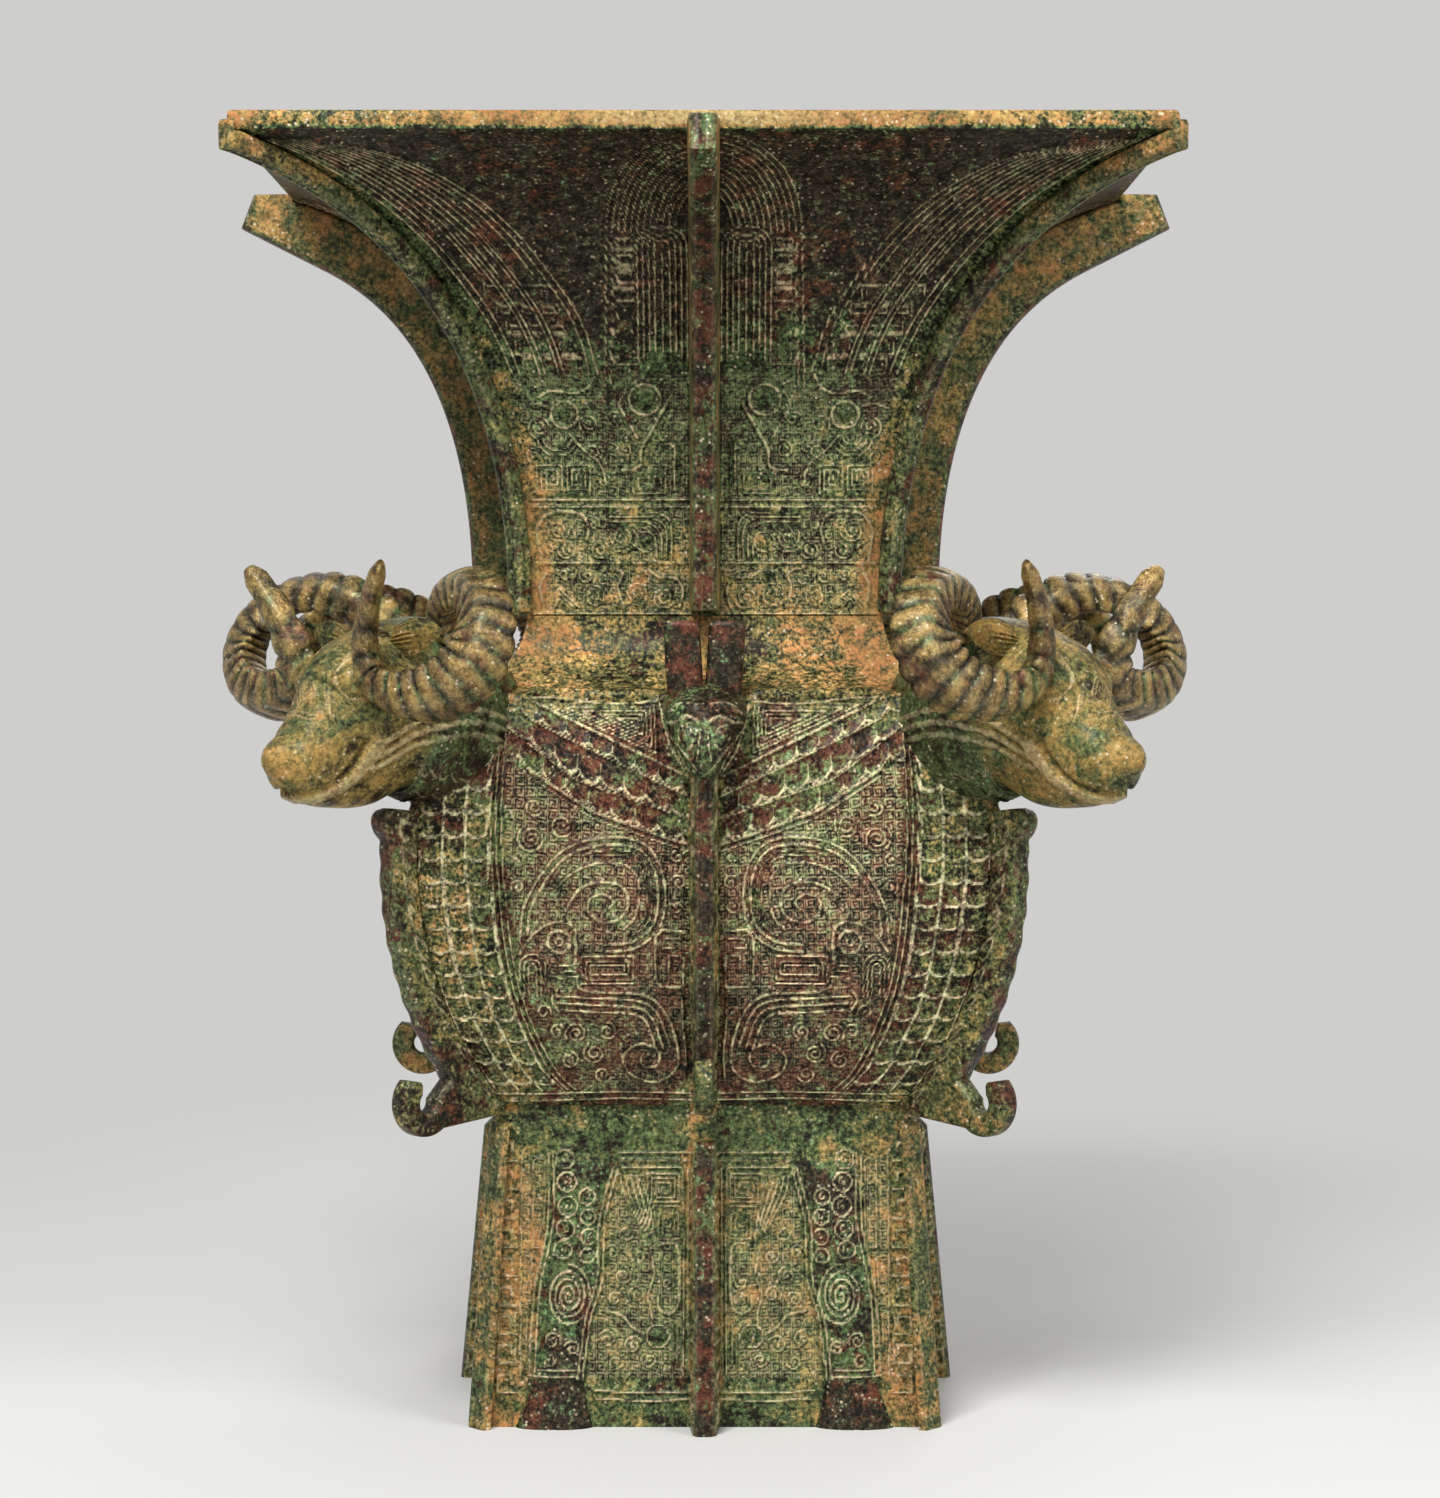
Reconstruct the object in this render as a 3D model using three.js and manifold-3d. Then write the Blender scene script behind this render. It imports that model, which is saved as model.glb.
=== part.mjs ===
// Square bronze zun with four rams. Millimetres, +Z up, the floor at z = 0, the vessel's axis on Z.
import * as THREE from "three";
import { mergeVertices } from "three/addons/utils/BufferGeometryUtils.js";
import Module from "manifold-3d";

const wasm = await Module();
wasm.setup();

// Gap left between pieces that were cast onto each other
const seam = 0.3;

// Levels above the floor
const height = 583;
const lipHeight = 8;
const lipWidth = 8;
const neckLevel = 372;
const shoulderLevel = 336;
const bellyLevel = 147;

// Half widths of the square sections, at the middle of a face
const rimHalf = 200;
const neckHalf = 82;
const shoulderHalf = 119;
const bellyFootHalf = 95;
const footLedge = 2;
const footTopHalf = bellyFootHalf - footLedge;
const footHalf = 102;

// Walls
const wall = 3.8;
const floorThickness = 5;
const footWall = 4.4;

// How the neck flares: the handles of its curve
const neckRise = 112;
const rimReach = 78;
const rimDrop = 21;

// How the shoulder and the belly curve
const shoulderRise = 22;
const shoulderLean = 2;
const shoulderReach = 20;
const shoulderLift = 4;
const bellyUpperSwell = 12;
const bellyUpperDrop = 36;
const bellyLowerSwell = 39;
const bellyLowerRise = 58;
const chestSwell = 6;
const flankSwell = 5;

// Flanges: how far they stand off the wall and how thick they are
const faceFlange = { rise: 32, riseAtRim: 26, thickness: 11 };
const faceFlangeEnd = { reach: 26, slope: 6, drop: 5, height: 16, inset: 12 };
const flangeLift = 2;
const cornerFlange = { rise: 9, thickness: 8.5, reach: 2.5, drop: 4 };
const bellyFlange = { rise: 17, thickness: 10, topLevel: 303 };
const chestFlange = { rise: 13, thickness: 11, topLevel: 284 };
const footFlange = { rise: 18, thickness: 11, topDrop: 16 };
const footCornerFlange = { rise: 4, thickness: 10, topDrop: 8 };

// Hooks at the lower end of the belly's flanges
const hook = { outer: 15.5, inner: 4.5, reach: 38, level: 153 };
const faceHook = { outer: 15, inner: 4.5, reach: 34, level: 164 };

// Ram: the rings of its neck and head, as forward and up from the chest, then half width and half height
const ramLevel = 300;
const headRings = [
  { forward: -62, up: 8, wide: 18, tall: 26 },
  { forward: -10, up: 27, wide: 30, tall: 40 },
  { forward: 10, up: 30, wide: 31, tall: 40 },
  { forward: 26, up: 27, wide: 28, tall: 37 },
  { forward: 42, up: 16, wide: 22, tall: 32 },
  { forward: 56, up: 10, wide: 18, tall: 24 },
  { forward: 68, up: 8, wide: 15, tall: 17 },
  { forward: 76, up: 9, wide: 9, tall: 10 },
];
const headWall = 7;
const headSides = 12;
const mouth = { gap: 1.6, wide: 120, length: 47, forward: 64, up: 3.2, slope: 0.55 };
const eye = { radius: 6, forward: 33, side: 20, up: 47 };
const earSides = 6;
const ear = { length: 28, wide: 8, thick: 4, forward: 26, side: 17, up: 60 };

// Horn: a coil that winds from its root in the head, out, down, in and up to the tip
const horn = {
  forward: -4,
  side: 50.5,
  up: 59,
  coilSide: 32.5,
  coilUp: 23.5,
  advance: 50,
  turns: 1.06,
  tipForward: 11,
  tipRise: 24.5,
  tipFlare: 26.5,
  flatness: 0.7,
  twist: 0.6,
};
const hornRings = [
  { share: 0, wide: 10 },
  { share: 0.25, wide: 10.5 },
  { share: 0.5, wide: 13.5 },
  { share: 0.7, wide: 13 },
  { share: 0.85, wide: 9.5 },
  { share: 0.94, wide: 7 },
  { share: 1, wide: 4.5 },
];
const hornSteps = 22;
const hornSides = 8;

// Dragon head: rings as forward and up from the shoulder's edge, then half width and half height
const dragonRings = [
  { forward: -26, up: 2, wide: 13, tall: 8 },
  { forward: -8, up: 4, wide: 16, tall: 12 },
  { forward: 10, up: 0, wide: 18, tall: 14 },
  { forward: 24, up: -12, wide: 15, tall: 12 },
  { forward: 31, up: -25, wide: 9, tall: 8 },
  { forward: 33, up: -34, wide: 5, tall: 4 },
];
const dragonSides = 10;
const dragonHorn = { wide: 16.5, thick: 9, tall: 27, lean: 0.06, spread: 8.8, forward: 8, up: 6 };

// Legs in low relief on the foot: half width and rise off the face, from the floor up
const legRings = [
  { level: 0, wide: 18, rise: 6 },
  { level: 18, wide: 13, rise: 4.5 },
  { level: 40, wide: 12.5, rise: 3.5 },
  { level: 68, wide: 15, rise: 4.5 },
  { level: 94, wide: 13, rise: 4 },
  { level: 118, wide: 14, rise: 2 },
];
const legSide = 69;
const legLean = 0.1;
const legSides = 10;

// Steps along the curved walls
const neckSteps = 12;
const shoulderSteps = 4;
const bellySteps = 10;
const faceSteps = 8;

// Raised ornament: the main lines of half a face, as across from its middle and up, and their section
const reliefLine = { wide: 4.5, root: 1.2 };
const bellyRelief = 1.2;
const birdOutline = [[82, 226], [72, 258], [47, 272], [24, 266], [18, 242], [30, 223]];
const birdTail = [[78, 225], [64, 234], [57, 222], [55, 204], [28, 201], [14, 186], [14, 165]];
const swag = [[8.5, 269], [46, 282], [76, 301]];
const panelEdge = [[90, 274], [88, 238], [80, 194], [58, 155]];
const shoulderRoll = { wide: 8, rise: 2.4, lean: 0.5, line: [[20, 337], [72, 337]] };
const neckRelief = 0.9;
const middleLeaf = [[45.5, 108], [43.5, 178], [38, 213], [26, 237], [12, 249]];
const cornerLeaf = [
  [[49, 112], [70, 162], [126, 226]],
  [[84, 112], [108, 162], [158, 226]],
];
const neckBand = [[8, 52], [76, 52]];

const bronze = new THREE.MeshStandardMaterial({ color: 0x4a4a33, roughness: 0.62, metalness: 0.75 });
const darkBronze = new THREE.MeshStandardMaterial({ color: 0x3a2c24, roughness: 0.5, metalness: 0.8 });
const earthBronze = new THREE.MeshStandardMaterial({ color: 0x6d5f41, roughness: 0.7, metalness: 0.6 });
const clay = new THREE.MeshStandardMaterial({ color: 0x8a6a4c, roughness: 0.95, metalness: 0 });

const SQUARE = Math.SQRT2;
const rimLevel = height - lipHeight;

// Walls as curves of half width against level
const neckCurve = new THREE.CubicBezierCurve(
  new THREE.Vector2(neckHalf, neckLevel),
  new THREE.Vector2(neckHalf, neckLevel + neckRise),
  new THREE.Vector2(rimHalf - rimReach, rimLevel - rimDrop),
  new THREE.Vector2(rimHalf, rimLevel),
);
const shoulderCurve = new THREE.CubicBezierCurve(
  new THREE.Vector2(neckHalf, neckLevel),
  new THREE.Vector2(neckHalf + shoulderLean, neckLevel - shoulderRise),
  new THREE.Vector2(shoulderHalf - shoulderReach, shoulderLevel + shoulderLift),
  new THREE.Vector2(shoulderHalf, shoulderLevel),
);
const bellyCurve = new THREE.CubicBezierCurve(
  new THREE.Vector2(shoulderHalf, shoulderLevel),
  new THREE.Vector2(shoulderHalf + bellyUpperSwell, shoulderLevel - bellyUpperDrop),
  new THREE.Vector2(bellyFootHalf + bellyLowerSwell, bellyLevel + bellyLowerRise),
  new THREE.Vector2(bellyFootHalf, bellyLevel),
);
const neckWall = neckCurve.getPoints(neckSteps);
const bellyWall = [
  ...bellyCurve.getPoints(bellySteps).reverse(),
  ...shoulderCurve.getPoints(shoulderSteps).reverse().slice(1),
];

// Half width on the belly's wall at a level
function bellyHalfAt(level) {
  const above = bellyWall.findIndex((point) => point.y >= level);
  if (above <= 0) {
    return bellyWall[0].x;
  }
  const low = bellyWall[above - 1];
  const high = bellyWall[above];
  return THREE.MathUtils.mapLinear(level, low.y, high.y, low.x, high.x);
}

// How much of the swell shows at a level: none at the foot and at the shoulder's edge
function swellAt(level) {
  const share = THREE.MathUtils.clamp((level - bellyLevel) / (shoulderLevel - bellyLevel), 0, 1);
  return Math.sin(Math.PI * share);
}

function footHalfAt(level) {
  return THREE.MathUtils.mapLinear(level, 0, bellyLevel, footHalf, footTopHalf);
}

// Radius of the ram's chest on the diagonal at a level
function chestRadiusAt(level) {
  return SQUARE * (bellyHalfAt(level) + chestSwell * swellAt(level));
}

// Moves a curve's points along its normal; rise may differ from the first to the last point
function offsetPoints(points, rise, lastRise = rise) {
  return points.map((point, i) => {
    const before = points[Math.max(i - 1, 0)];
    const after = points[Math.min(i + 1, points.length - 1)];
    const along = after.clone().sub(before).normalize();
    const step = THREE.MathUtils.lerp(rise, lastRise, i / (points.length - 1));
    return new THREE.Vector2(point.x + along.y * step, point.y - along.x * step);
  });
}

function solidOf(geometry) {
  const bare = new THREE.BufferGeometry();
  bare.setAttribute("position", geometry.getAttribute("position"));
  bare.setIndex(geometry.getIndex());
  const merged = mergeVertices(bare, 1e-4);
  return new wasm.Manifold(
    new wasm.Mesh({
      numProp: 3,
      vertProperties: new Float32Array(merged.getAttribute("position").array),
      triVerts: new Uint32Array(merged.getIndex().array),
    }),
  );
}

function geometryOf(solid) {
  const mesh = solid.getMesh();
  const geometry = new THREE.BufferGeometry();
  geometry.setAttribute("position", new THREE.BufferAttribute(mesh.vertProperties.slice(), 3));
  geometry.setIndex(new THREE.BufferAttribute(mesh.triVerts.slice(), 1));
  geometry.computeVertexNormals();
  return geometry;
}

// A closed skin over rings of points, with a fan over each end
function loft(rings) {
  const count = rings[0].length;
  const points = rings.flat();
  const triangles = [];
  for (let i = 0; i + 1 < rings.length; i += 1) {
    for (let j = 0; j < count; j += 1) {
      const a = i * count + j;
      const b = i * count + ((j + 1) % count);
      triangles.push([a, b, b + count], [a, b + count, a + count]);
    }
  }
  const first = points.length;
  for (const ring of [rings[0], rings[rings.length - 1]]) {
    const middle = new THREE.Vector3();
    ring.forEach((point) => middle.addScaledVector(point, 1 / count));
    points.push(middle);
  }
  const last = (rings.length - 1) * count;
  for (let j = 0; j < count; j += 1) {
    const next = (j + 1) % count;
    triangles.push([first, next, j], [first + 1, last + j, last + next]);
  }
  let volume = 0;
  for (const [a, b, c] of triangles) {
    volume += points[a].dot(points[b].clone().cross(points[c]));
  }
  const faces = volume < 0 ? triangles.map(([a, b, c]) => [a, c, b]) : triangles;
  const geometry = new THREE.BufferGeometry().setFromPoints(points);
  geometry.setIndex(faces.flat());
  geometry.computeVertexNormals();
  return geometry;
}

// A square tube from a closed outline of half width against level
function squareTube(outline) {
  const profile = outline.map((point) => new THREE.Vector2(point.x * SQUARE, point.y));
  profile.push(profile[0].clone());
  const geometry = new THREE.LatheGeometry(profile, 4, Math.PI / 4);
  geometry.rotateX(Math.PI / 2);
  return geometry;
}

// A flat plate with the given outline of radius against level, standing across the radius
function plate(shape, thickness) {
  const geometry = new THREE.ExtrudeGeometry(shape, {
    depth: thickness,
    bevelEnabled: false,
    curveSegments: 5,
  });
  geometry.translate(0, 0, -thickness / 2);
  geometry.rotateX(Math.PI / 2);
  return geometry;
}

// How far out a belly face is: middle is its half width at the middle, reach runs from there to a corner
function bellyOut(middle, swell, reach) {
  return middle + swell * (chestSwell * reach + flankSwell * Math.sin(Math.PI * reach));
}

// One level of the belly: a square whose sides swell between the middle and the corners
function bellyRing(level, half, grow) {
  const swell = swellAt(level);
  const middle = half + grow;
  const corner = middle + chestSwell * swell;
  const ring = [];
  for (let side = 0; side < 4; side += 1) {
    const turn = (side * Math.PI) / 2;
    for (let i = 0; i < faceSteps; i += 1) {
      const across = (2 * i) / faceSteps - 1;
      const out = bellyOut(middle, swell, Math.abs(across));
      const point = new THREE.Vector3(out, across * corner, level);
      ring.push(point.applyAxisAngle(new THREE.Vector3(0, 0, 1), turn));
    }
  }
  return ring;
}

// The belly and shoulder as a full body, grown outwards by a distance
function bellyBody(grow, lowest, highest) {
  const levels = bellyWall.filter((point) => point.y > lowest + 1 && point.y < highest - 1);
  const rings = [
    bellyRing(lowest, bellyHalfAt(lowest), grow),
    ...levels.map((point) => bellyRing(point.y, point.x, grow)),
    bellyRing(highest, bellyHalfAt(highest), grow),
  ];
  return solidOf(loft(rings));
}

// A raised line with a ridge, along places on a wall; each place has its point and the way out of the wall
function ribSolid(places, wide, rise) {
  const rings = places.map(({ point, out }, i) => {
    const before = places[Math.max(i - 1, 0)].point;
    const after = places[Math.min(i + 1, places.length - 1)].point;
    const across = after.clone().sub(before).cross(out).normalize();
    return [
      point.clone().addScaledVector(across, -wide / 2).addScaledVector(out, -reliefLine.root),
      point.clone().addScaledVector(across, wide / 2).addScaledVector(out, -reliefLine.root),
      point.clone().addScaledVector(out, rise),
    ];
  });
  return solidOf(loft(rings));
}

// Adds raised lines to both halves of all four faces; place gives a spot on the face that looks along +X
function withRibs(body, lines, place, wide, rise) {
  let raised = body;
  for (const line of lines) {
    for (const hand of [-1, 1]) {
      const rib = ribSolid(line.map(([across, up]) => place(hand, across, up)), wide, rise);
      for (let side = 0; side < 4; side += 1) {
        raised = raised.add(rib.rotate([0, 0, 90 * side]));
      }
    }
  }
  return raised;
}

// A spot on a neck face, as across from its middle and up along its curve
function neckPlace(hand, across, up) {
  const share = up / neckCurve.getLength();
  const spot = neckCurve.getPointAt(share);
  const along = neckCurve.getTangentAt(share);
  return {
    point: new THREE.Vector3(spot.x, hand * across, spot.y),
    out: new THREE.Vector3(along.y, 0, -along.x),
  };
}

// A spot on a belly face, as across from its middle and its level
function bellyPlace(hand, across, level) {
  const swell = swellAt(level);
  const middle = bellyHalfAt(level);
  const reach = across / (middle + chestSwell * swell);
  return {
    point: new THREE.Vector3(bellyOut(middle, swell, reach), hand * across, level),
    out: new THREE.Vector3(1, 0, 0),
  };
}

// A spot on the edge of a shoulder, where the way out leans up
function shoulderPlace(hand, across, level) {
  const { point } = bellyPlace(hand, across, level);
  return { point, out: new THREE.Vector3(shoulderRoll.lean, 0, 1).normalize() };
}

function buildNeck() {
  const inside = offsetPoints(neckCurve.getPoints(2 * neckSteps), -wall);
  const underLip = inside.filter((point) => point.x < rimHalf - lipWidth);
  const outline = [
    ...neckWall.map((point, i) => (i ? point : new THREE.Vector2(point.x, neckLevel + seam))),
    new THREE.Vector2(rimHalf, height),
    new THREE.Vector2(rimHalf - lipWidth, height),
    ...underLip.reverse(),
  ];
  outline[outline.length - 1] = new THREE.Vector2(neckHalf - wall, neckLevel + seam);
  const lines = [middleLeaf, ...cornerLeaf, neckBand];
  return geometryOf(withRibs(solidOf(squareTube(outline)), lines, neckPlace, reliefLine.wide, neckRelief));
}

function buildBelly(dragonSocket) {
  const outside = bellyBody(0, bellyLevel + seam, neckLevel);
  const cavity = bellyBody(-wall, bellyLevel + floorThickness, neckLevel);
  const throat = new THREE.BoxGeometry(2 * (neckHalf - wall), 2 * (neckHalf - wall), 4 * wall);
  throat.translate(0, 0, neckLevel);
  const lines = [birdOutline, birdTail, swag, panelEdge];
  let body = outside.subtract(cavity).subtract(solidOf(throat));
  body = withRibs(body, lines, bellyPlace, reliefLine.wide, bellyRelief);
  body = withRibs(body, [shoulderRoll.line], shoulderPlace, shoulderRoll.wide, shoulderRoll.rise);
  for (let side = 0; side < 4; side += 1) {
    body = body.subtract(dragonSocket.rotate([0, 0, 90 * side]));
  }
  return geometryOf(body);
}

// A leg on the face that looks along +X
function legSolid(side) {
  const rings = legRings.map(({ level, wide, rise }) => {
    const ring = [];
    for (let i = 0; i < legSides; i += 1) {
      const angle = (2 * Math.PI * i) / legSides;
      const across = side * (legSide - legLean * level) + wide * Math.sin(angle);
      const out = footHalfAt(level) - 1 + (rise + 1) * Math.max(Math.cos(angle), -0.5);
      ring.push(new THREE.Vector3(out, across, level));
    }
    return ring;
  });
  return solidOf(loft(rings));
}

function buildFoot() {
  const outline = [
    new THREE.Vector2(footHalf, 0),
    new THREE.Vector2(footTopHalf, bellyLevel),
    new THREE.Vector2(footTopHalf - footWall, bellyLevel),
    new THREE.Vector2(footHalf - footWall, 0),
  ];
  let body = solidOf(squareTube(outline));
  for (let side = 0; side < 4; side += 1) {
    for (const hand of [-1, 1]) {
      body = body.add(legSolid(hand).rotate([0, 0, 90 * side]));
    }
  }
  return geometryOf(body);
}

function shapeOf(points) {
  return new THREE.Shape(points);
}

// The tall flange in the middle of a neck face, with a blunt end that stands past the lip
function buildFaceFlange() {
  const foot = neckLevel + flangeLift;
  const inner = offsetPoints(neckWall, seam);
  const outer = offsetPoints(neckWall, faceFlange.rise, faceFlange.riseAtRim);
  const endTop = height - faceFlangeEnd.drop;
  const endFoot = new THREE.Vector2(rimHalf + faceFlangeEnd.reach, endTop - faceFlangeEnd.height);
  const kept = outer.filter((point) => point.x < rimHalf - faceFlangeEnd.inset);
  return plate(
    shapeOf([
      new THREE.Vector2(neckHalf + seam, foot),
      ...inner.slice(1, -1),
      new THREE.Vector2(rimHalf + seam, rimLevel - seam),
      new THREE.Vector2(rimHalf + seam, endTop),
      new THREE.Vector2(endFoot.x - faceFlangeEnd.slope, endTop),
      endFoot,
      ...kept.reverse().filter((point) => point.y > foot + flangeLift),
      new THREE.Vector2(neckHalf + faceFlange.rise, foot),
    ]),
    faceFlange.thickness,
  );
}

// The low flange on a neck corner, up to a tip at the corner of the lip
function buildCornerFlange() {
  const foot = neckLevel + flangeLift;
  const edge = neckWall.map((point) => new THREE.Vector2(point.x * SQUARE, point.y));
  const inner = offsetPoints(edge, seam);
  const outer = offsetPoints(edge, cornerFlange.rise);
  const tip = rimHalf * SQUARE;
  return plate(
    shapeOf([
      new THREE.Vector2(neckHalf * SQUARE + seam, foot),
      ...inner.slice(1, -1),
      new THREE.Vector2(tip + seam, rimLevel - seam),
      new THREE.Vector2(tip + seam, height - cornerFlange.drop),
      new THREE.Vector2(tip + cornerFlange.reach, height - cornerFlange.drop),
      new THREE.Vector2(tip + cornerFlange.reach, rimLevel - cornerFlange.rise),
      ...outer.slice(1, -1).reverse(),
      new THREE.Vector2(neckHalf * SQUARE + cornerFlange.rise, foot),
    ]),
    cornerFlange.thickness,
  );
}

// A flange down the belly that ends in a hook; radiusAt gives the wall's radius at a level
function hookedFlange(radiusAt, flange, end, neighbours) {
  const levels = bellyWall.map((point) => point.y);
  const lowest = end.level - end.outer + 6;
  const inside = levels.filter((level) => level > lowest + 2 && level < flange.topLevel - 2);
  const inner = [lowest, ...inside, flange.topLevel].map(
    (level) => new THREE.Vector2(radiusAt(level), level),
  );
  const seat = offsetPoints(inner, -wall / 2);
  const outer = offsetPoints(inner, flange.rise).filter((point) => point.y > end.level + 8);
  const x = radiusAt(end.level) + end.reach;
  const shape = new THREE.Shape([...outer.reverse().slice(0, -1), outer[outer.length - 1]]);
  shape.absarc(x, end.level, end.inner, Math.PI * 0.9, Math.PI * 0.25, false);
  shape.absarc(x, end.level, end.outer, Math.PI * 0.25, -Math.PI * 0.7, true);
  seat.forEach((point) => shape.lineTo(point.x, point.y));
  let body = solidOf(plate(shape, flange.thickness));
  neighbours.forEach((neighbour) => {
    body = body.subtract(neighbour);
  });
  return geometryOf(body);
}

// A plain flange on the foot; scale turns a half width into a radius
function footPlate(flange, scale) {
  const top = bellyLevel - flange.topDrop;
  const inner = new THREE.Vector2(footHalfAt(top) * scale + seam, top);
  const base = new THREE.Vector2(footHalf * scale + seam, 0);
  return plate(
    shapeOf([
      inner,
      base,
      new THREE.Vector2(base.x + flange.rise, 0),
      new THREE.Vector2(inner.x + flange.rise * 0.8, top - flange.rise * 0.4),
      new THREE.Vector2(inner.x + flange.rise * 0.4, top),
    ]),
    flange.thickness,
  );
}

// Rings across a spine that lies in the plane of radius and level
function spineRings(rings, base, level, sides, grow) {
  const spine = rings.map((ring) => new THREE.Vector2(base + ring.forward, level + ring.up));
  return rings.map((ring, i) => {
    const before = spine[Math.max(i - 1, 0)];
    const after = spine[Math.min(i + 1, spine.length - 1)];
    const along = after.clone().sub(before).normalize();
    const points = [];
    for (let j = 0; j < sides; j += 1) {
      const angle = (2 * Math.PI * j) / sides;
      const up = (ring.tall + grow) * Math.cos(angle);
      const across = (ring.wide + grow) * Math.sin(angle);
      points.push(new THREE.Vector3(spine[i].x - along.y * up, across, spine[i].y + along.x * up));
    }
    return points;
  });
}

const chestRadius = chestRadiusAt(ramLevel);

// Half the breadth of a horn at a share of its length
function hornWideAt(share) {
  const next = Math.max(hornRings.findIndex((ring) => ring.share >= share), 1);
  const low = hornRings[next - 1];
  const high = hornRings[next];
  return THREE.MathUtils.mapLinear(share, low.share, high.share, low.wide, high.wide);
}

// A horn on one side of the head, along its coil from the root to the tip; its section is a turned oval
function hornSolid(hand, grow) {
  const twistCos = Math.cos(horn.twist);
  const twistSin = Math.sin(horn.twist);
  const rings = [];
  const path = [];
  for (let i = 0; i <= hornSteps; i += 1) {
    const share = i / hornSteps;
    const angle = 2 * Math.PI * horn.turns * share;
    const late = (Math.max(share - 0.8, 0) / 0.2) ** 2;
    const side = horn.side - horn.coilSide * Math.cos(angle) + horn.tipFlare * late;
    const up = horn.up + horn.coilUp * Math.sin(angle) + horn.tipRise * late;
    const forward = horn.forward + horn.advance * Math.sin(angle / 4) + horn.tipForward * late;
    path.push(new THREE.Vector3(chestRadius + forward, hand * side, ramLevel + up));
  }
  path.forEach((point, i) => {
    const before = path[Math.max(i - 1, 0)];
    const after = path[Math.min(i + 1, hornSteps)];
    const along = after.clone().sub(before).normalize();
    const out = new THREE.Vector3(1, 0, 0).addScaledVector(along, -along.x).normalize();
    const third = along.clone().cross(out).multiplyScalar(hand);
    const broad = third.clone().multiplyScalar(twistCos).addScaledVector(out, twistSin);
    const thin = out.clone().multiplyScalar(twistCos).addScaledVector(third, -twistSin);
    const wide = hornWideAt(i / hornSteps);
    const ring = [];
    for (let j = 0; j < hornSides; j += 1) {
      const angle = (2 * Math.PI * j) / hornSides;
      ring.push(
        point
          .clone()
          .addScaledVector(broad, (wide + grow) * Math.cos(angle))
          .addScaledVector(thin, (wide * horn.flatness + grow) * Math.sin(angle)),
      );
    }
    rings.push(ring);
  });
  return solidOf(loft(rings));
}

// A pointed leaf that stands out sideways from the head
function earSolid(hand) {
  const rings = [0, 0.35, 0.7, 1].map((share) => {
    const wide = ear.wide * (share < 0.35 ? 0.7 : 1.15 - share) + 0.6;
    const ring = [];
    for (let j = 0; j < earSides; j += 1) {
      const angle = (2 * Math.PI * j) / earSides;
      ring.push(
        new THREE.Vector3(
          chestRadius + ear.forward - 4 * share + ear.thick * (1.2 - share) * Math.cos(angle),
          hand * (ear.side + ear.length * share),
          ramLevel + ear.up + 4 * share + wide * Math.sin(angle),
        ),
      );
    }
    return ring;
  });
  return solidOf(loft(rings));
}

function eyeSolid(hand) {
  const ball = new THREE.SphereGeometry(eye.radius, 8, 6);
  ball.translate(chestRadius + eye.forward, hand * eye.side, ramLevel + eye.up);
  return solidOf(ball);
}

function mouthSolid() {
  const slit = new THREE.BoxGeometry(mouth.length, mouth.wide, mouth.gap);
  slit.rotateY(mouth.slope);
  slit.translate(chestRadius + mouth.forward, 0, ramLevel + mouth.up);
  return solidOf(slit);
}

// The body in the frame of a corner, where +X runs out along the diagonal
const faceClear = bellyBody(seam, bellyLevel - 20, neckLevel);
const keepClear = faceClear.rotate([0, 0, -45]);
const neckClear = solidOf(
  squareTube([
    new THREE.Vector2(0, neckLevel - 1),
    ...offsetPoints(neckWall, cornerFlange.rise + 2),
    new THREE.Vector2(0, rimLevel),
  ]),
).rotate([0, 0, -45]);

// The hollow of the head, which runs out through its back
function coreSolid(grow) {
  const first = headRings[0];
  const rings = [{ ...first, forward: first.forward - headWall }, ...headRings.slice(0, 6)];
  return solidOf(loft(spineRings(rings, chestRadius, ramLevel, headSides, grow - headWall)));
}

function headSolid(grow) {
  return solidOf(loft(spineRings(headRings, chestRadius, ramLevel, headSides, grow)));
}

function buildHead() {
  let head = headSolid(0).subtract(mouthSolid());
  for (const hand of [-1, 1]) {
    head = head.add(eyeSolid(hand)).add(earSolid(hand));
  }
  head = head.subtract(coreSolid(0)).subtract(keepClear).subtract(neckClear);
  for (const hand of [-1, 1]) {
    head = head.subtract(hornSolid(hand, seam));
  }
  return geometryOf(head);
}

function buildCore() {
  let core = coreSolid(-seam).subtract(keepClear).subtract(neckClear);
  for (const hand of [-1, 1]) {
    core = core.subtract(hornSolid(hand, 2 * seam));
  }
  return geometryOf(core);
}

function dragonSolid(grow) {
  const rings = spineRings(dragonRings, shoulderHalf, shoulderLevel, dragonSides, grow);
  return solidOf(loft(rings));
}

function buildDragon() {
  let dragon = dragonSolid(0);
  for (const hand of [-1, 1]) {
    const slab = new THREE.BoxGeometry(dragonHorn.thick, dragonHorn.wide, dragonHorn.tall);
    slab.translate(0, 0, dragonHorn.tall / 2);
    slab.rotateX(-hand * dragonHorn.lean);
    slab.translate(
      shoulderHalf + dragonHorn.forward,
      hand * dragonHorn.spread,
      shoulderLevel + dragonHorn.up,
    );
    dragon = dragon.add(solidOf(slab));
  }
  return geometryOf(dragon);
}

const model = new THREE.Group();
model.name = "four_ram_zun";

function addPiece(group, name, geometry, material) {
  const mesh = new THREE.Mesh(geometry, material);
  mesh.name = name;
  group.add(mesh);
}

addPiece(model, "vessel_neck", buildNeck(), bronze);
addPiece(model, "vessel_belly", buildBelly(dragonSolid(seam)), bronze);
addPiece(model, "vessel_foot", buildFoot(), bronze);

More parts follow.
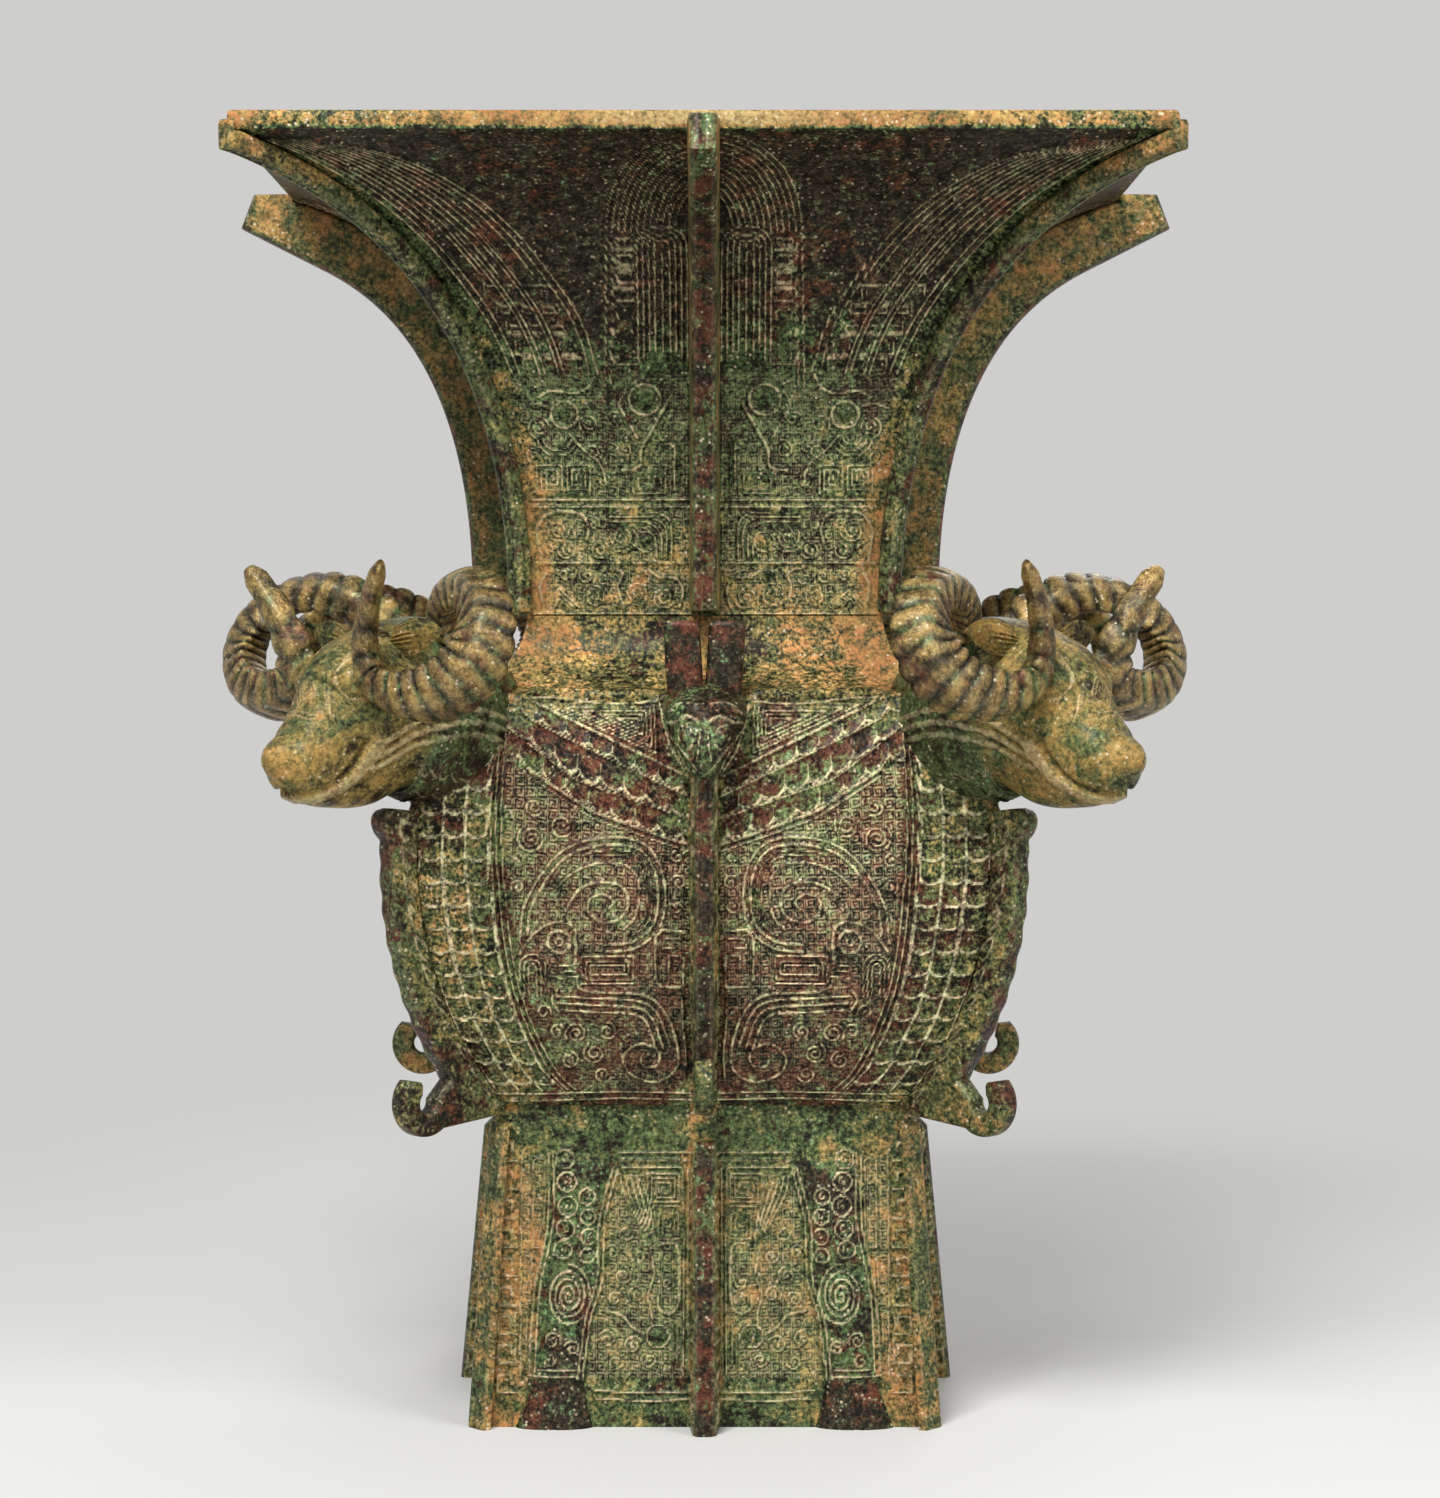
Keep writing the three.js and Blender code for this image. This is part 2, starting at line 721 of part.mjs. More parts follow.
const facePieces = [
  ["neck_face_flange", buildFaceFlange(), darkBronze],
  ["dragon_head", buildDragon(), earthBronze],
  [
    "belly_face_flange",
    hookedFlange(bellyHalfAt, bellyFlange, faceHook, [faceClear, dragonSolid(seam)]),
    darkBronze,
  ],
  ["foot_face_flange", footPlate(footFlange, 1), darkBronze],
];
const cornerPieces = [
  ["neck_corner_flange", buildCornerFlange(), earthBronze],
  ["ram_head", buildHead(), bronze],
  ["ram_core", buildCore(), clay],
  ["ram_horn_left", geometryOf(hornSolid(1, 0)), darkBronze],
  ["ram_horn_right", geometryOf(hornSolid(-1, 0)), darkBronze],
  [
    "chest_flange",
    hookedFlange(chestRadiusAt, chestFlange, hook, [keepClear, headSolid(seam)]),
    darkBronze,
  ],
  ["foot_corner_flange", footPlate(footCornerFlange, SQUARE), bronze],
];

["front", "right", "back", "left"].forEach((side, i) => {
  const face = new THREE.Group();
  face.name = `face_${side}`;
  face.rotation.z = ((i - 1) * Math.PI) / 2;
  facePieces.forEach(([name, geometry, material]) => {
    addPiece(face, `${name}_${side}`, geometry, material);
  });
  model.add(face);
});
["front_left", "front_right", "back_right", "back_left"].forEach((place, i) => {
  const corner = new THREE.Group();
  corner.name = `corner_${place}`;
  corner.rotation.z = ((2 * i - 3) * Math.PI) / 4;
  cornerPieces.forEach(([name, geometry, material]) => {
    addPiece(corner, `${name}_${place}`, geometry, material);
  });
  model.add(corner);
});

export default model;
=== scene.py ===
"""Square bronze vessel with four rams: its cast ornament, its patina and a plain studio."""

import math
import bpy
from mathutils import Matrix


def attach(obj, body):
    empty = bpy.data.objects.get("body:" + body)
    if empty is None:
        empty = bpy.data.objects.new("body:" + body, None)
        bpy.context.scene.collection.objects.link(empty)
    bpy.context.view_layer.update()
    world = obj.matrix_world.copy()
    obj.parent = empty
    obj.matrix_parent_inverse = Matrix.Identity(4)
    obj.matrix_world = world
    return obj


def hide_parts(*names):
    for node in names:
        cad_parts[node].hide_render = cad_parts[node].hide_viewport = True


bl_info = {
    "name": "Four-ram bronze vessel",
    "version": (1, 0, 0),
    "blender": (4, 5, 0),
    "location": "View3D > Sidebar > Bronze vessel",
    "description": "Builds the ornament and patina of a square bronze vessel round its solids",
    "category": "Add Mesh",
}

import bpy
import numpy as np
from mathutils import Vector

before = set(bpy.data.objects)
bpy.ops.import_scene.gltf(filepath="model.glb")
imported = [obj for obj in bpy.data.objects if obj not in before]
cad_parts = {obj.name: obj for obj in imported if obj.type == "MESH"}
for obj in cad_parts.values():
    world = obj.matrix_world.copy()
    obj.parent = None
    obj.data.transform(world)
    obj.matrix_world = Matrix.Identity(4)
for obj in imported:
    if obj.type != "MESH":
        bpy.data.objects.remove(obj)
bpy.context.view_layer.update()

MM = 0.001
SQUARE = math.sqrt(2)
FACES = {"front": -90, "right": 0, "back": 90, "left": 180}
CORNERS = {"front_left": -135, "front_right": -45, "back_right": 45, "back_left": 135}
HANDS = {"left": 1, "right": -1}

# Levels above the floor and half widths of the square sections, in millimetres
HEIGHT = 583
RIM_LEVEL = 575
NECK_LEVEL = 372
SHOULDER_LEVEL = 336
BELLY_LEVEL = 147
RIM_HALF = 200
NECK_HALF = 82
SHOULDER_HALF = 119
BELLY_FOOT_HALF = 95
FOOT_TOP_HALF = 93
FOOT_HALF = 102
LIP_WIDTH = 8
WALL = 3.8
FOOT_WALL = 4.4
FLOOR_THICKNESS = 5
CHEST_SWELL = 6
FLANK_SWELL = 5
SEAM = 0.3

# Lip: points out from the rim's half width and up from the top
LIP_PROFILE = [(0.4, -6), (0.6, -3), (0.2, -0.8), (-1, 0)]

# Handles of the walls' curves, as distances from the ends of each curve
NECK_RISE = 112
RIM_REACH = 78
RIM_DROP = 21
SHOULDER_LEAN = 2
SHOULDER_RISE = 22
SHOULDER_REACH = 20
SHOULDER_LIFT = 4
BELLY_LOWER_SWELL = 39
BELLY_LOWER_RISE = 58
BELLY_UPPER_SWELL = 12
BELLY_UPPER_DROP = 36

# How deep pieces are let into the wall, then the gaps at the neck's foot, rim and lip
FLANGE_SEAT = 1.9
HEAD_SEAT = 1.6
FLOOR_SEAT = 1
FLANGE_LIFT = 2
RIM_GAP = 0.5
LIP_GAP = 2

# Raised lines: how wide their flanks are, where their pale tops lie, as wear and painted highlight, and where
# they fade at a corner
LINE_FLANK = 0.45
PALE_TOP_INSET = 0.2
PALE_TOP_FLANK = 0.4
EDGE_FADE = 2.5

# Dust on the plain inside of the walls, and where dust beside a middle flange fades out and is full
INSIDE_DUST = 0.35
FLANGE_DUST = (9, 6)

# Flanges: rise off the wall, thickness at the free edge, and how much thicker they are at the wall
NECK_FLANGE = {
    "rise": 32,
    "rise_at_rim": 26,
    "thickness": 11,
    "splay": 0.3,
    "reach": 26,
    "end": 16,
    "drop": 5,
    "slope": 6,
    "inset": 12,
}
CORNER_FLANGE = {"rise": 9, "thickness": 8.5, "splay": 0.25, "reach": 2.5, "drop": 4}
BELLY_FLANGE = {"rise": 17, "thickness": 8.6, "splay": 0.5, "top": 303, "knob": 0}
BELLY_HOOK = {"outer": 15, "inner": 4.5, "reach": 34, "level": 164}
CHEST_FLANGE = {"rise": 13, "thickness": 10.6, "splay": 0.2, "top": 284, "knob": 6}
CHEST_HOOK = {"outer": 15.5, "inner": 4.5, "reach": 38, "level": 153}
# Arcs of both edges of a hook and the direction of its tip, in degrees
HOOK_ARCS = {"outer": (-126, 45), "inner": (162, 405), "tip": 62}
FOOT_FLANGE = {"rise": 18, "thickness": 10.4, "splay": 0.3, "drop": 16}
FOOT_CORNER = {"rise": 4, "thickness": 11, "splay": 0.3, "drop": 8}
# Brackets on the sides of flanges: the length that they cover and their pitch
BRACKETS = {"belly": (165, 15), "chest": (150, 13), "foot": (140, 14)}

# Ram: the level of its chest, then rings of forward, up, half width and half height
RAM_LEVEL = 300
RAM_RINGS = [
    (-62, 8, 18, 26),
    (-10, 27, 30, 40),
    (10, 30, 31, 40),
    (26, 27, 28, 37),
    (42, 16, 22, 32),
    (56, 10, 18, 24),
    (68, 8, 15, 17),
    (76, 9, 9, 10),
]
RAM_NOSE = [(80.5, 9.6, 5.5, 6), (82.5, 10, 2, 2)]
EAR = {"length": 28, "wide": 8, "thick": 4, "forward": 26, "side": 17, "up": 60, "slant": 4}
HORN = {
    "turns": 1.06,
    "forward": -4,
    "side": 50.5,
    "up": 59,
    "coil_side": 32.5,
    "coil_up": 23.5,
    "advance": 50,
}
HORN_TIP = {"from": 0.8, "forward": 11, "side": 26.5, "up": 24.5}
HORN_SECTION = {"flatness": 0.7, "twist": 0.6}
HORN_WIDE = [(0, 10), (0.25, 10.5), (0.5, 13.5), (0.7, 13), (0.85, 9.5), (0.94, 7), (1, 4.5)]
DRAGON_RINGS = [
    (-26, -2, 13, 6),
    (-8, -1, 16, 8),
    (8, -4, 18.5, 10),
    (22, -13, 17, 12),
    (30, -25, 11, 9),
    (33, -34, 6, 5),
]
DRAGON_NOSE = [(33.4, -37, 2, 1.6)]
DRAGON_HORN = {"wide": 16.5, "thick": 9, "tall": 27, "lean": 0.06, "spread": 8.8, "forward": 8, "up": 6}

# Panels of the heads' ornament, as left, low, right, high and cell, then the radii that wrap them
RAM_PANEL = (0, -64, 82, 92, 0.4)
DRAGON_PANEL = (0, 0, 50, 80, 0.4)
RAM_GIRTH = 26
DRAGON_GIRTH = 15

# Legs on the foot: level, half width and rise off the face
LEG_RINGS = [(0, 18, 6), (18, 13, 4.5), (40, 12.5, 3.5), (68, 15, 4.5), (94, 13, 4), (118, 14, 2)]
LEG_SIDE = 69
LEG_LEAN = 0.1

# Where the ornament of the belly's panel ends beside the scales of a ram's chest
PANEL_EDGE = [
    (88, 336),
    (89, 318),
    (90, 300),
    (90.5, 280),
    (89.5, 255),
    (86, 220),
    (80, 194),
    (68, 166),
    (55, 152),
]

# Finishes: the slot that a piece belongs to, then how much it has of each patina and of painted glints
FINISH_KEYS = ("slot", "green", "red", "earth", "gold", "lines", "glints", "gloss", "grit")
FINISH_ROWS = {
    "neck_bronze": ("green_bronze", 0.32, 0.24, 0.3, 0, 0.85, 0.4, 0.2, 0.9),
    "belly_bronze": ("green_bronze", 0.28, 0.75, 0.3, 0, 0.95, 1.2, 0.5, 1.0),
    "foot_bronze": ("green_bronze", 0.45, 0.5, 0.4, 0, 0.9, 0.9, 0.3, 0.65),
    "ram_bronze": ("green_bronze", 0.5, 0.3, 0.3, 0.7, 0.6, 0.3, 0.5, 0.35),
    "horn_bronze": ("dark_bronze", 0.35, 0.4, 0.2, 0.5, 0.12, 0.1, 0.7, 0.3),
    "flange_bronze": ("dark_bronze", 0.36, 0.5, 0.35, 0, 0.6, 0.8, 0.7, 0.5),
    "chest_bronze": ("dark_bronze", 0.22, 0.65, 0.3, 0, 0.6, 0.6, 0.5, 0.7),
    "corner_bronze": ("earthy_bronze", 0.35, 0.65, 0.4, 0, 0.6, 0.8, 0.3, 0.6),
    "dragon_bronze": ("earthy_bronze", 0.35, 0.55, 0.25, 0, 0.7, 1.0, 0.6, 0.8),
}
FINISHES = {name: dict(zip(FINISH_KEYS, row)) for name, row in FINISH_ROWS.items()}


def length_setting(name, description, default):
    return bpy.props.FloatProperty(name=name, description=description, default=default, unit="LENGTH")


class VesselShape(bpy.types.PropertyGroup):
    """Sizes of the cast ornament."""

    neck_relief: length_setting("Neck relief", "How far the lines on the neck stand out", 0.0008)
    belly_relief: length_setting("Belly relief", "How far the lines on the belly stand out", 0.0011)
    foot_relief: length_setting("Foot relief", "How far the lines on the foot stand out", 0.001)
    scale_length: length_setting("Scale length", "Height of one scale on a ram's chest", 0.0104)
    horn_rib: length_setting("Horn rib", "How deep the grooves between a horn's ribs are", 0.0024)
    mark_relief: length_setting("Flange marks", "How far the marks on the flanges stand out", 0.0012)
    horn_ribs: bpy.props.IntProperty(
        name="Ribs on a horn",
        description="Number of ribs from the root of a horn to its tip",
        default=23,
    )


def colour_setting(name, description, default):
    return bpy.props.FloatVectorProperty(
        name=name,
        description=description,
        default=default,
        subtype="COLOR",
        size=3,
        min=0,
        max=1,
    )


class VesselColours(bpy.types.PropertyGroup):
    """Colours of the patina and of the studio."""

    dark_bronze: colour_setting("Dark bronze", "Smooth metal in the ground", (0.018, 0.015, 0.009))
    red_bronze: colour_setting("Red bronze", "Red-brown patches", (0.125, 0.037, 0.02))
    green_patina: colour_setting("Green patina", "Olive green over most of the vessel", (0.06, 0.105, 0.036))
    malachite: colour_setting("Malachite", "Brighter green spots", (0.14, 0.32, 0.15))
    ochre_earth: colour_setting("Ochre earth", "Earth on the shoulder and in hollows", (0.47, 0.3, 0.095))
    rose_earth: colour_setting("Rose earth", "Orange and pinkish crust", (0.42, 0.17, 0.06))
    lip_earth: colour_setting("Lip earth", "Pale crust on the lip", (0.5, 0.37, 0.16))
    # Pale tops of raised lines, rims of scales and ridges are partly wear and partly painted highlight.
    raised_line: colour_setting("Raised lines", "Worn tops of the raised lines", (0.46, 0.46, 0.24))
    warm_line: colour_setting("Warm lines", "Pinkish tops of other raised lines", (0.56, 0.41, 0.25))
    pale_mint: colour_setting("Pale mint", "Rims of the scales and worn ridges", (0.66, 0.68, 0.42))
    # The pale specks are painted glints.
    pale_glint: colour_setting("Pale specks", "Small pale spots of corrosion", (0.75, 0.62, 0.42))
    worn_gold: colour_setting("Worn gold", "Rubbed metal on the rams' heads and horns", (0.38, 0.225, 0.06))
    clay: colour_setting("Clay", "Core left in the rams' heads", (0.25, 0.14, 0.08))
    floor: colour_setting("Floor", "Floor under the vessel", (0.72, 0.716, 0.707))
    backdrop: colour_setting("Backdrop", "Behind the vessel", (0.62, 0.616, 0.608))


# Curves


def bezier(start, leave, arrive, end, count=400):
    """Points along a curve from its two ends and two handles."""
    t = np.linspace(0, 1, count)[:, None]
    a, b, c, d = (np.array(p, float) for p in (start, leave, arrive, end))
    return a * (1 - t) ** 3 + 3 * b * t * (1 - t) ** 2 + 3 * c * t * t * (1 - t) + d * t**3


def lengths(points):
    """How far along a line each of its points is."""
    steps = np.linalg.norm(np.diff(points, axis=0), axis=1)
    return np.concatenate(([0], np.cumsum(steps)))


def placed(points, places):
    """Points at the given distances along a line."""
    points = np.asarray(points, float)
    along = lengths(points)
    return np.column_stack([np.interp(places, along, column) for column in points.T])


def spaced(points, count):
    """The same line with its points spaced evenly."""
    return placed(points, np.linspace(0, lengths(np.asarray(points, float))[-1], count))


def smooth(points, per=8):
    """A soft line through the points."""
    p = np.asarray(points, float)
    before = np.vstack((2 * p[0] - p[1], p[:-1]))[: len(p) - 1]
    after = np.vstack((p[2:], 2 * p[-1] - p[-2]))
    line = []
    for p0, p1, p2, p3 in zip(before, p[:-1], p[1:], after):
        for t in np.linspace(0, 1, per, endpoint=False):
            bend = 2 * p0 - 5 * p1 + 4 * p2 - p3
            twist = 3 * p1 - p0 - 3 * p2 + p3
            line.append(0.5 * (2 * p1 + (p2 - p0) * t + bend * t * t + twist * t**3))
    return np.vstack((line, p[-1]))


def circle(sides):
    """Angles once round, evenly spaced."""
    return np.linspace(0, 2 * math.pi, sides, endpoint=False)


def ramp(values, start, end):
    """A straight rise from 0 at the start to 1 at the end, which may lie below the start."""
    return np.clip((values - start) / (end - start), 0, 1)


def directions(points):
    """Unit steps along a line at each of its points."""
    along = np.gradient(np.asarray(points, float), axis=0)
    return along / np.linalg.norm(along, axis=1)[:, None]


def beside(points, gap):
    """A line that runs beside another, to the right of its travel."""
    along = directions(points)
    return np.asarray(points, float) + gap * np.column_stack((along[:, 1], -along[:, 0]))


def spread(*spans):
    """Places from -1 to 1, closer in some spans: each span has its start, its end and its count."""
    half = [np.linspace(start, end, count, endpoint=False) for start, end, count in spans]
    half = np.append(np.concatenate(half), 1.0)
    return np.concatenate((-half[:0:-1], half))


NECK_CURVE = bezier(
    (NECK_HALF, NECK_LEVEL),
    (NECK_HALF, NECK_LEVEL + NECK_RISE),
    (RIM_HALF - RIM_REACH, RIM_LEVEL - RIM_DROP),
    (RIM_HALF, RIM_LEVEL),
)
SHOULDER_CURVE = bezier(
    (SHOULDER_HALF, SHOULDER_LEVEL),
    (SHOULDER_HALF - SHOULDER_REACH, SHOULDER_LEVEL + SHOULDER_LIFT),
    (NECK_HALF + SHOULDER_LEAN, NECK_LEVEL - SHOULDER_RISE),
    (NECK_HALF, NECK_LEVEL),
)
BELLY_CURVE = bezier(
    (BELLY_FOOT_HALF, BELLY_LEVEL),
    (BELLY_FOOT_HALF + BELLY_LOWER_SWELL, BELLY_LEVEL + BELLY_LOWER_RISE),
    (SHOULDER_HALF + BELLY_UPPER_SWELL, SHOULDER_LEVEL - BELLY_UPPER_DROP),
    (SHOULDER_HALF, SHOULDER_LEVEL),
)
BODY_CURVE = np.vstack((BELLY_CURVE, SHOULDER_CURVE[1:], NECK_CURVE[1:]))
NECK_ALONG = lengths(NECK_CURVE)
NECK_LENGTH = NECK_ALONG[-1]
SHOULDER_LENGTH = lengths(SHOULDER_CURVE)[-1]


def half_at(level):
    """Half width of the vessel at a level, at the middle of a face."""
    return np.interp(level, BODY_CURVE[:, 1], BODY_CURVE[:, 0])


def up_neck(level):
    """How far up the neck's wall a level is."""
    return np.interp(level, NECK_CURVE[:, 1], NECK_ALONG)


def swell_at(level):
    """How much of the belly's swell shows at a level."""
    share = (np.asarray(level, float) - BELLY_LEVEL) / (SHOULDER_LEVEL - BELLY_LEVEL)
    return np.sin(math.pi * np.clip(share, 0, 1))


def corner_at(level):
    """Half width of the vessel at a level, at its corner."""
    return half_at(level) + CHEST_SWELL * swell_at(level)


def chest_at(level):
    """How far out the corner is at a level, along the diagonal."""
    return SQUARE * corner_at(level)


def foot_half_at(level):
    return FOOT_HALF + (FOOT_TOP_HALF - FOOT_HALF) * np.asarray(level, float) / BELLY_LEVEL


CHEST_RADIUS = float(chest_at(RAM_LEVEL))


# Ornament, drawn as heights over half a face


def spiral(x, y, radius, start=0.0, hand=1, gap=2.3, tall=1.0):
    """A round spiral, from its outer end in to its middle. Start is an angle in degrees."""
    turns = max(radius / gap - 0.2, 0.8)
    angle = np.linspace(0, 2 * math.pi * turns, int(16 * turns) + 8)
    reach = radius + (0.5 - radius) * angle / angle[-1]
    place = math.radians(start) + hand * angle
    return np.column_stack((x + reach * np.cos(place), y + tall * reach * np.sin(place)))


def square_spiral(x, y, half_x, half_y, gap=2.1, hand=1):
    """A square spiral, from its outer end in to its middle."""
    left, right, low, high = -half_x, half_x, -half_y, half_y
    points = [(left, low)]
    while right - left > 0.9 * gap and high - low > 0.9 * gap:
        points += [(right, low), (right, high), (left, high)]
        low += gap
        points.append((left, low))
        left += gap
        right -= gap
        high -= gap
    return np.array([(x + hand * px, y + py) for px, py in points])


def ring(x, y, radius):
    angle = np.linspace(0, 2 * math.pi, 26)
    return np.column_stack((x + radius * np.cos(angle), y + radius * np.sin(angle)))


def arch(x, low, high, half):
    """Two uprights joined by a round top."""
    angle = np.radians(np.linspace(180, 0, 14))
    top = np.column_stack((x + half * np.cos(angle), high - half + half * np.sin(angle)))
    return np.vstack(((x - half, low), top, (x + half, low)))


class Relief:
    """Ornament over a flat panel: its lines, the marks of their tops, its patterned ground and its form."""

    def __init__(self, left, low, right, high, cell=0.3):
        self.cell = cell
        self.x = np.arange(left, right + cell, cell)
        self.y = np.arange(low, high + cell, cell)
        shape = (len(self.y), len(self.x))
        self.height = np.zeros(shape)
        self.mark = np.zeros(shape)
        self.ground = np.zeros(shape)
        self.form = np.zeros(shape)

    def grid(self):
        return np.meshgrid(self.x, self.y)

    def line(self, points, wide=1.3, tall=1.0, moat=0.8):
        """A raised line with a clear strip on both sides."""
        points = np.asarray(points, float)
        reach = wide / 2 + moat + self.cell
        near = np.full(self.height.shape, np.inf)
        top, left = len(self.y), len(self.x)
        bottom, right = 0, 0
        for a, b in zip(points[:-1], points[1:]):
            low = np.minimum(a, b) - reach
            high = np.maximum(a, b) + reach
            c0 = max(int((low[0] - self.x[0]) / self.cell), 0)
            c1 = min(int((high[0] - self.x[0]) / self.cell) + 2, len(self.x))
            r0 = max(int((low[1] - self.y[0]) / self.cell), 0)
            r1 = min(int((high[1] - self.y[0]) / self.cell) + 2, len(self.y))
            if c0 >= c1 or r0 >= r1:
                continue
            step = b - a
            dx = self.x[c0:c1][None, :] - a[0]
            dy = self.y[r0:r1][:, None] - a[1]
            share = np.clip((dx * step[0] + dy * step[1]) / max(step @ step, 1e-9), 0, 1)
            gap = np.hypot(dx - share * step[0], dy - share * step[1])
            near[r0:r1, c0:c1] = np.minimum(near[r0:r1, c0:c1], gap)
            top, bottom = min(top, r0), max(bottom, r1)
            left, right = min(left, c0), max(right, c1)
        if top >= bottom or left >= right:
            return
        window = (slice(top, bottom), slice(left, right))
        near = near[window]
        clear = np.clip((near - wide / 2) / max(moat, 1e-6), 0, 1)
        ridge = np.clip((wide / 2 - near) / LINE_FLANK + 0.5, 0, 1)
        # Pale top, partly wear and partly painted highlight
        pale_top = np.clip((wide / 2 - PALE_TOP_INSET - near) / PALE_TOP_FLANK + 0.5, 0, 1)
        self.height[window] = np.maximum(self.height[window] * clear, tall * ridge)
        self.mark[window] = np.maximum(self.mark[window] * clear, pale_top)
        self.ground[window] *= clear

    def lines(self, many, **style):
        for points in many:
            self.line(points, **style)

    def spirals(self, many, wide=1.3):
        """Round spirals, each with its place, radius, start and hand."""
        for x, y, radius, start, hand in many:
            self.line(spiral(x, y, radius, start, hand), wide)

    def boss(self, x, y, radius, tall):
        """A low round knob."""
        gap = np.hypot(self.x[None, :] - x, self.y[:, None] - y) / radius
        self.height = np.maximum(self.height, tall * np.sqrt(np.clip(1 - gap**2, 0, 1)))
        self.ground *= gap > 1

    def scales(self, inside, share, step, lift, rim=0.16):
        """Scales that hang in rows: share runs across one and step up it, both in whole scales."""
        up = np.mod(step - lift * np.abs(2 * np.mod(share, 1) - 1) ** 2.6, 1)
        edge = np.clip(1 - up / rim, 0, 1) ** 0.5
        self.height = np.where(inside, 0.55 * (1 - up) ** 1.5 + 0.6 * edge, self.height)
        # Pale rims of the scales, partly wear and partly painted highlight
        self.mark = np.where(inside, 1.7 * edge, self.mark)
        self.ground = np.where(inside, 0, self.ground)

    def at(self, x, y):
        """Height, line mark, ground and form at any points of the panel."""
        column = np.clip((x - self.x[0]) / self.cell, 0, len(self.x) - 1.001)
        row = np.clip((y - self.y[0]) / self.cell, 0, len(self.y) - 1.001)
        c, r = column.astype(int), row.astype(int)
        u, v = column - c, row - r
        found = []
        for values in (self.height, self.mark, self.ground, self.form):
            low = values[r, c] * (1 - u) + values[r, c + 1] * u
            high = values[r + 1, c] * (1 - u) + values[r + 1, c + 1] * u
            found.append(low * (1 - v) + high * v)
        return found


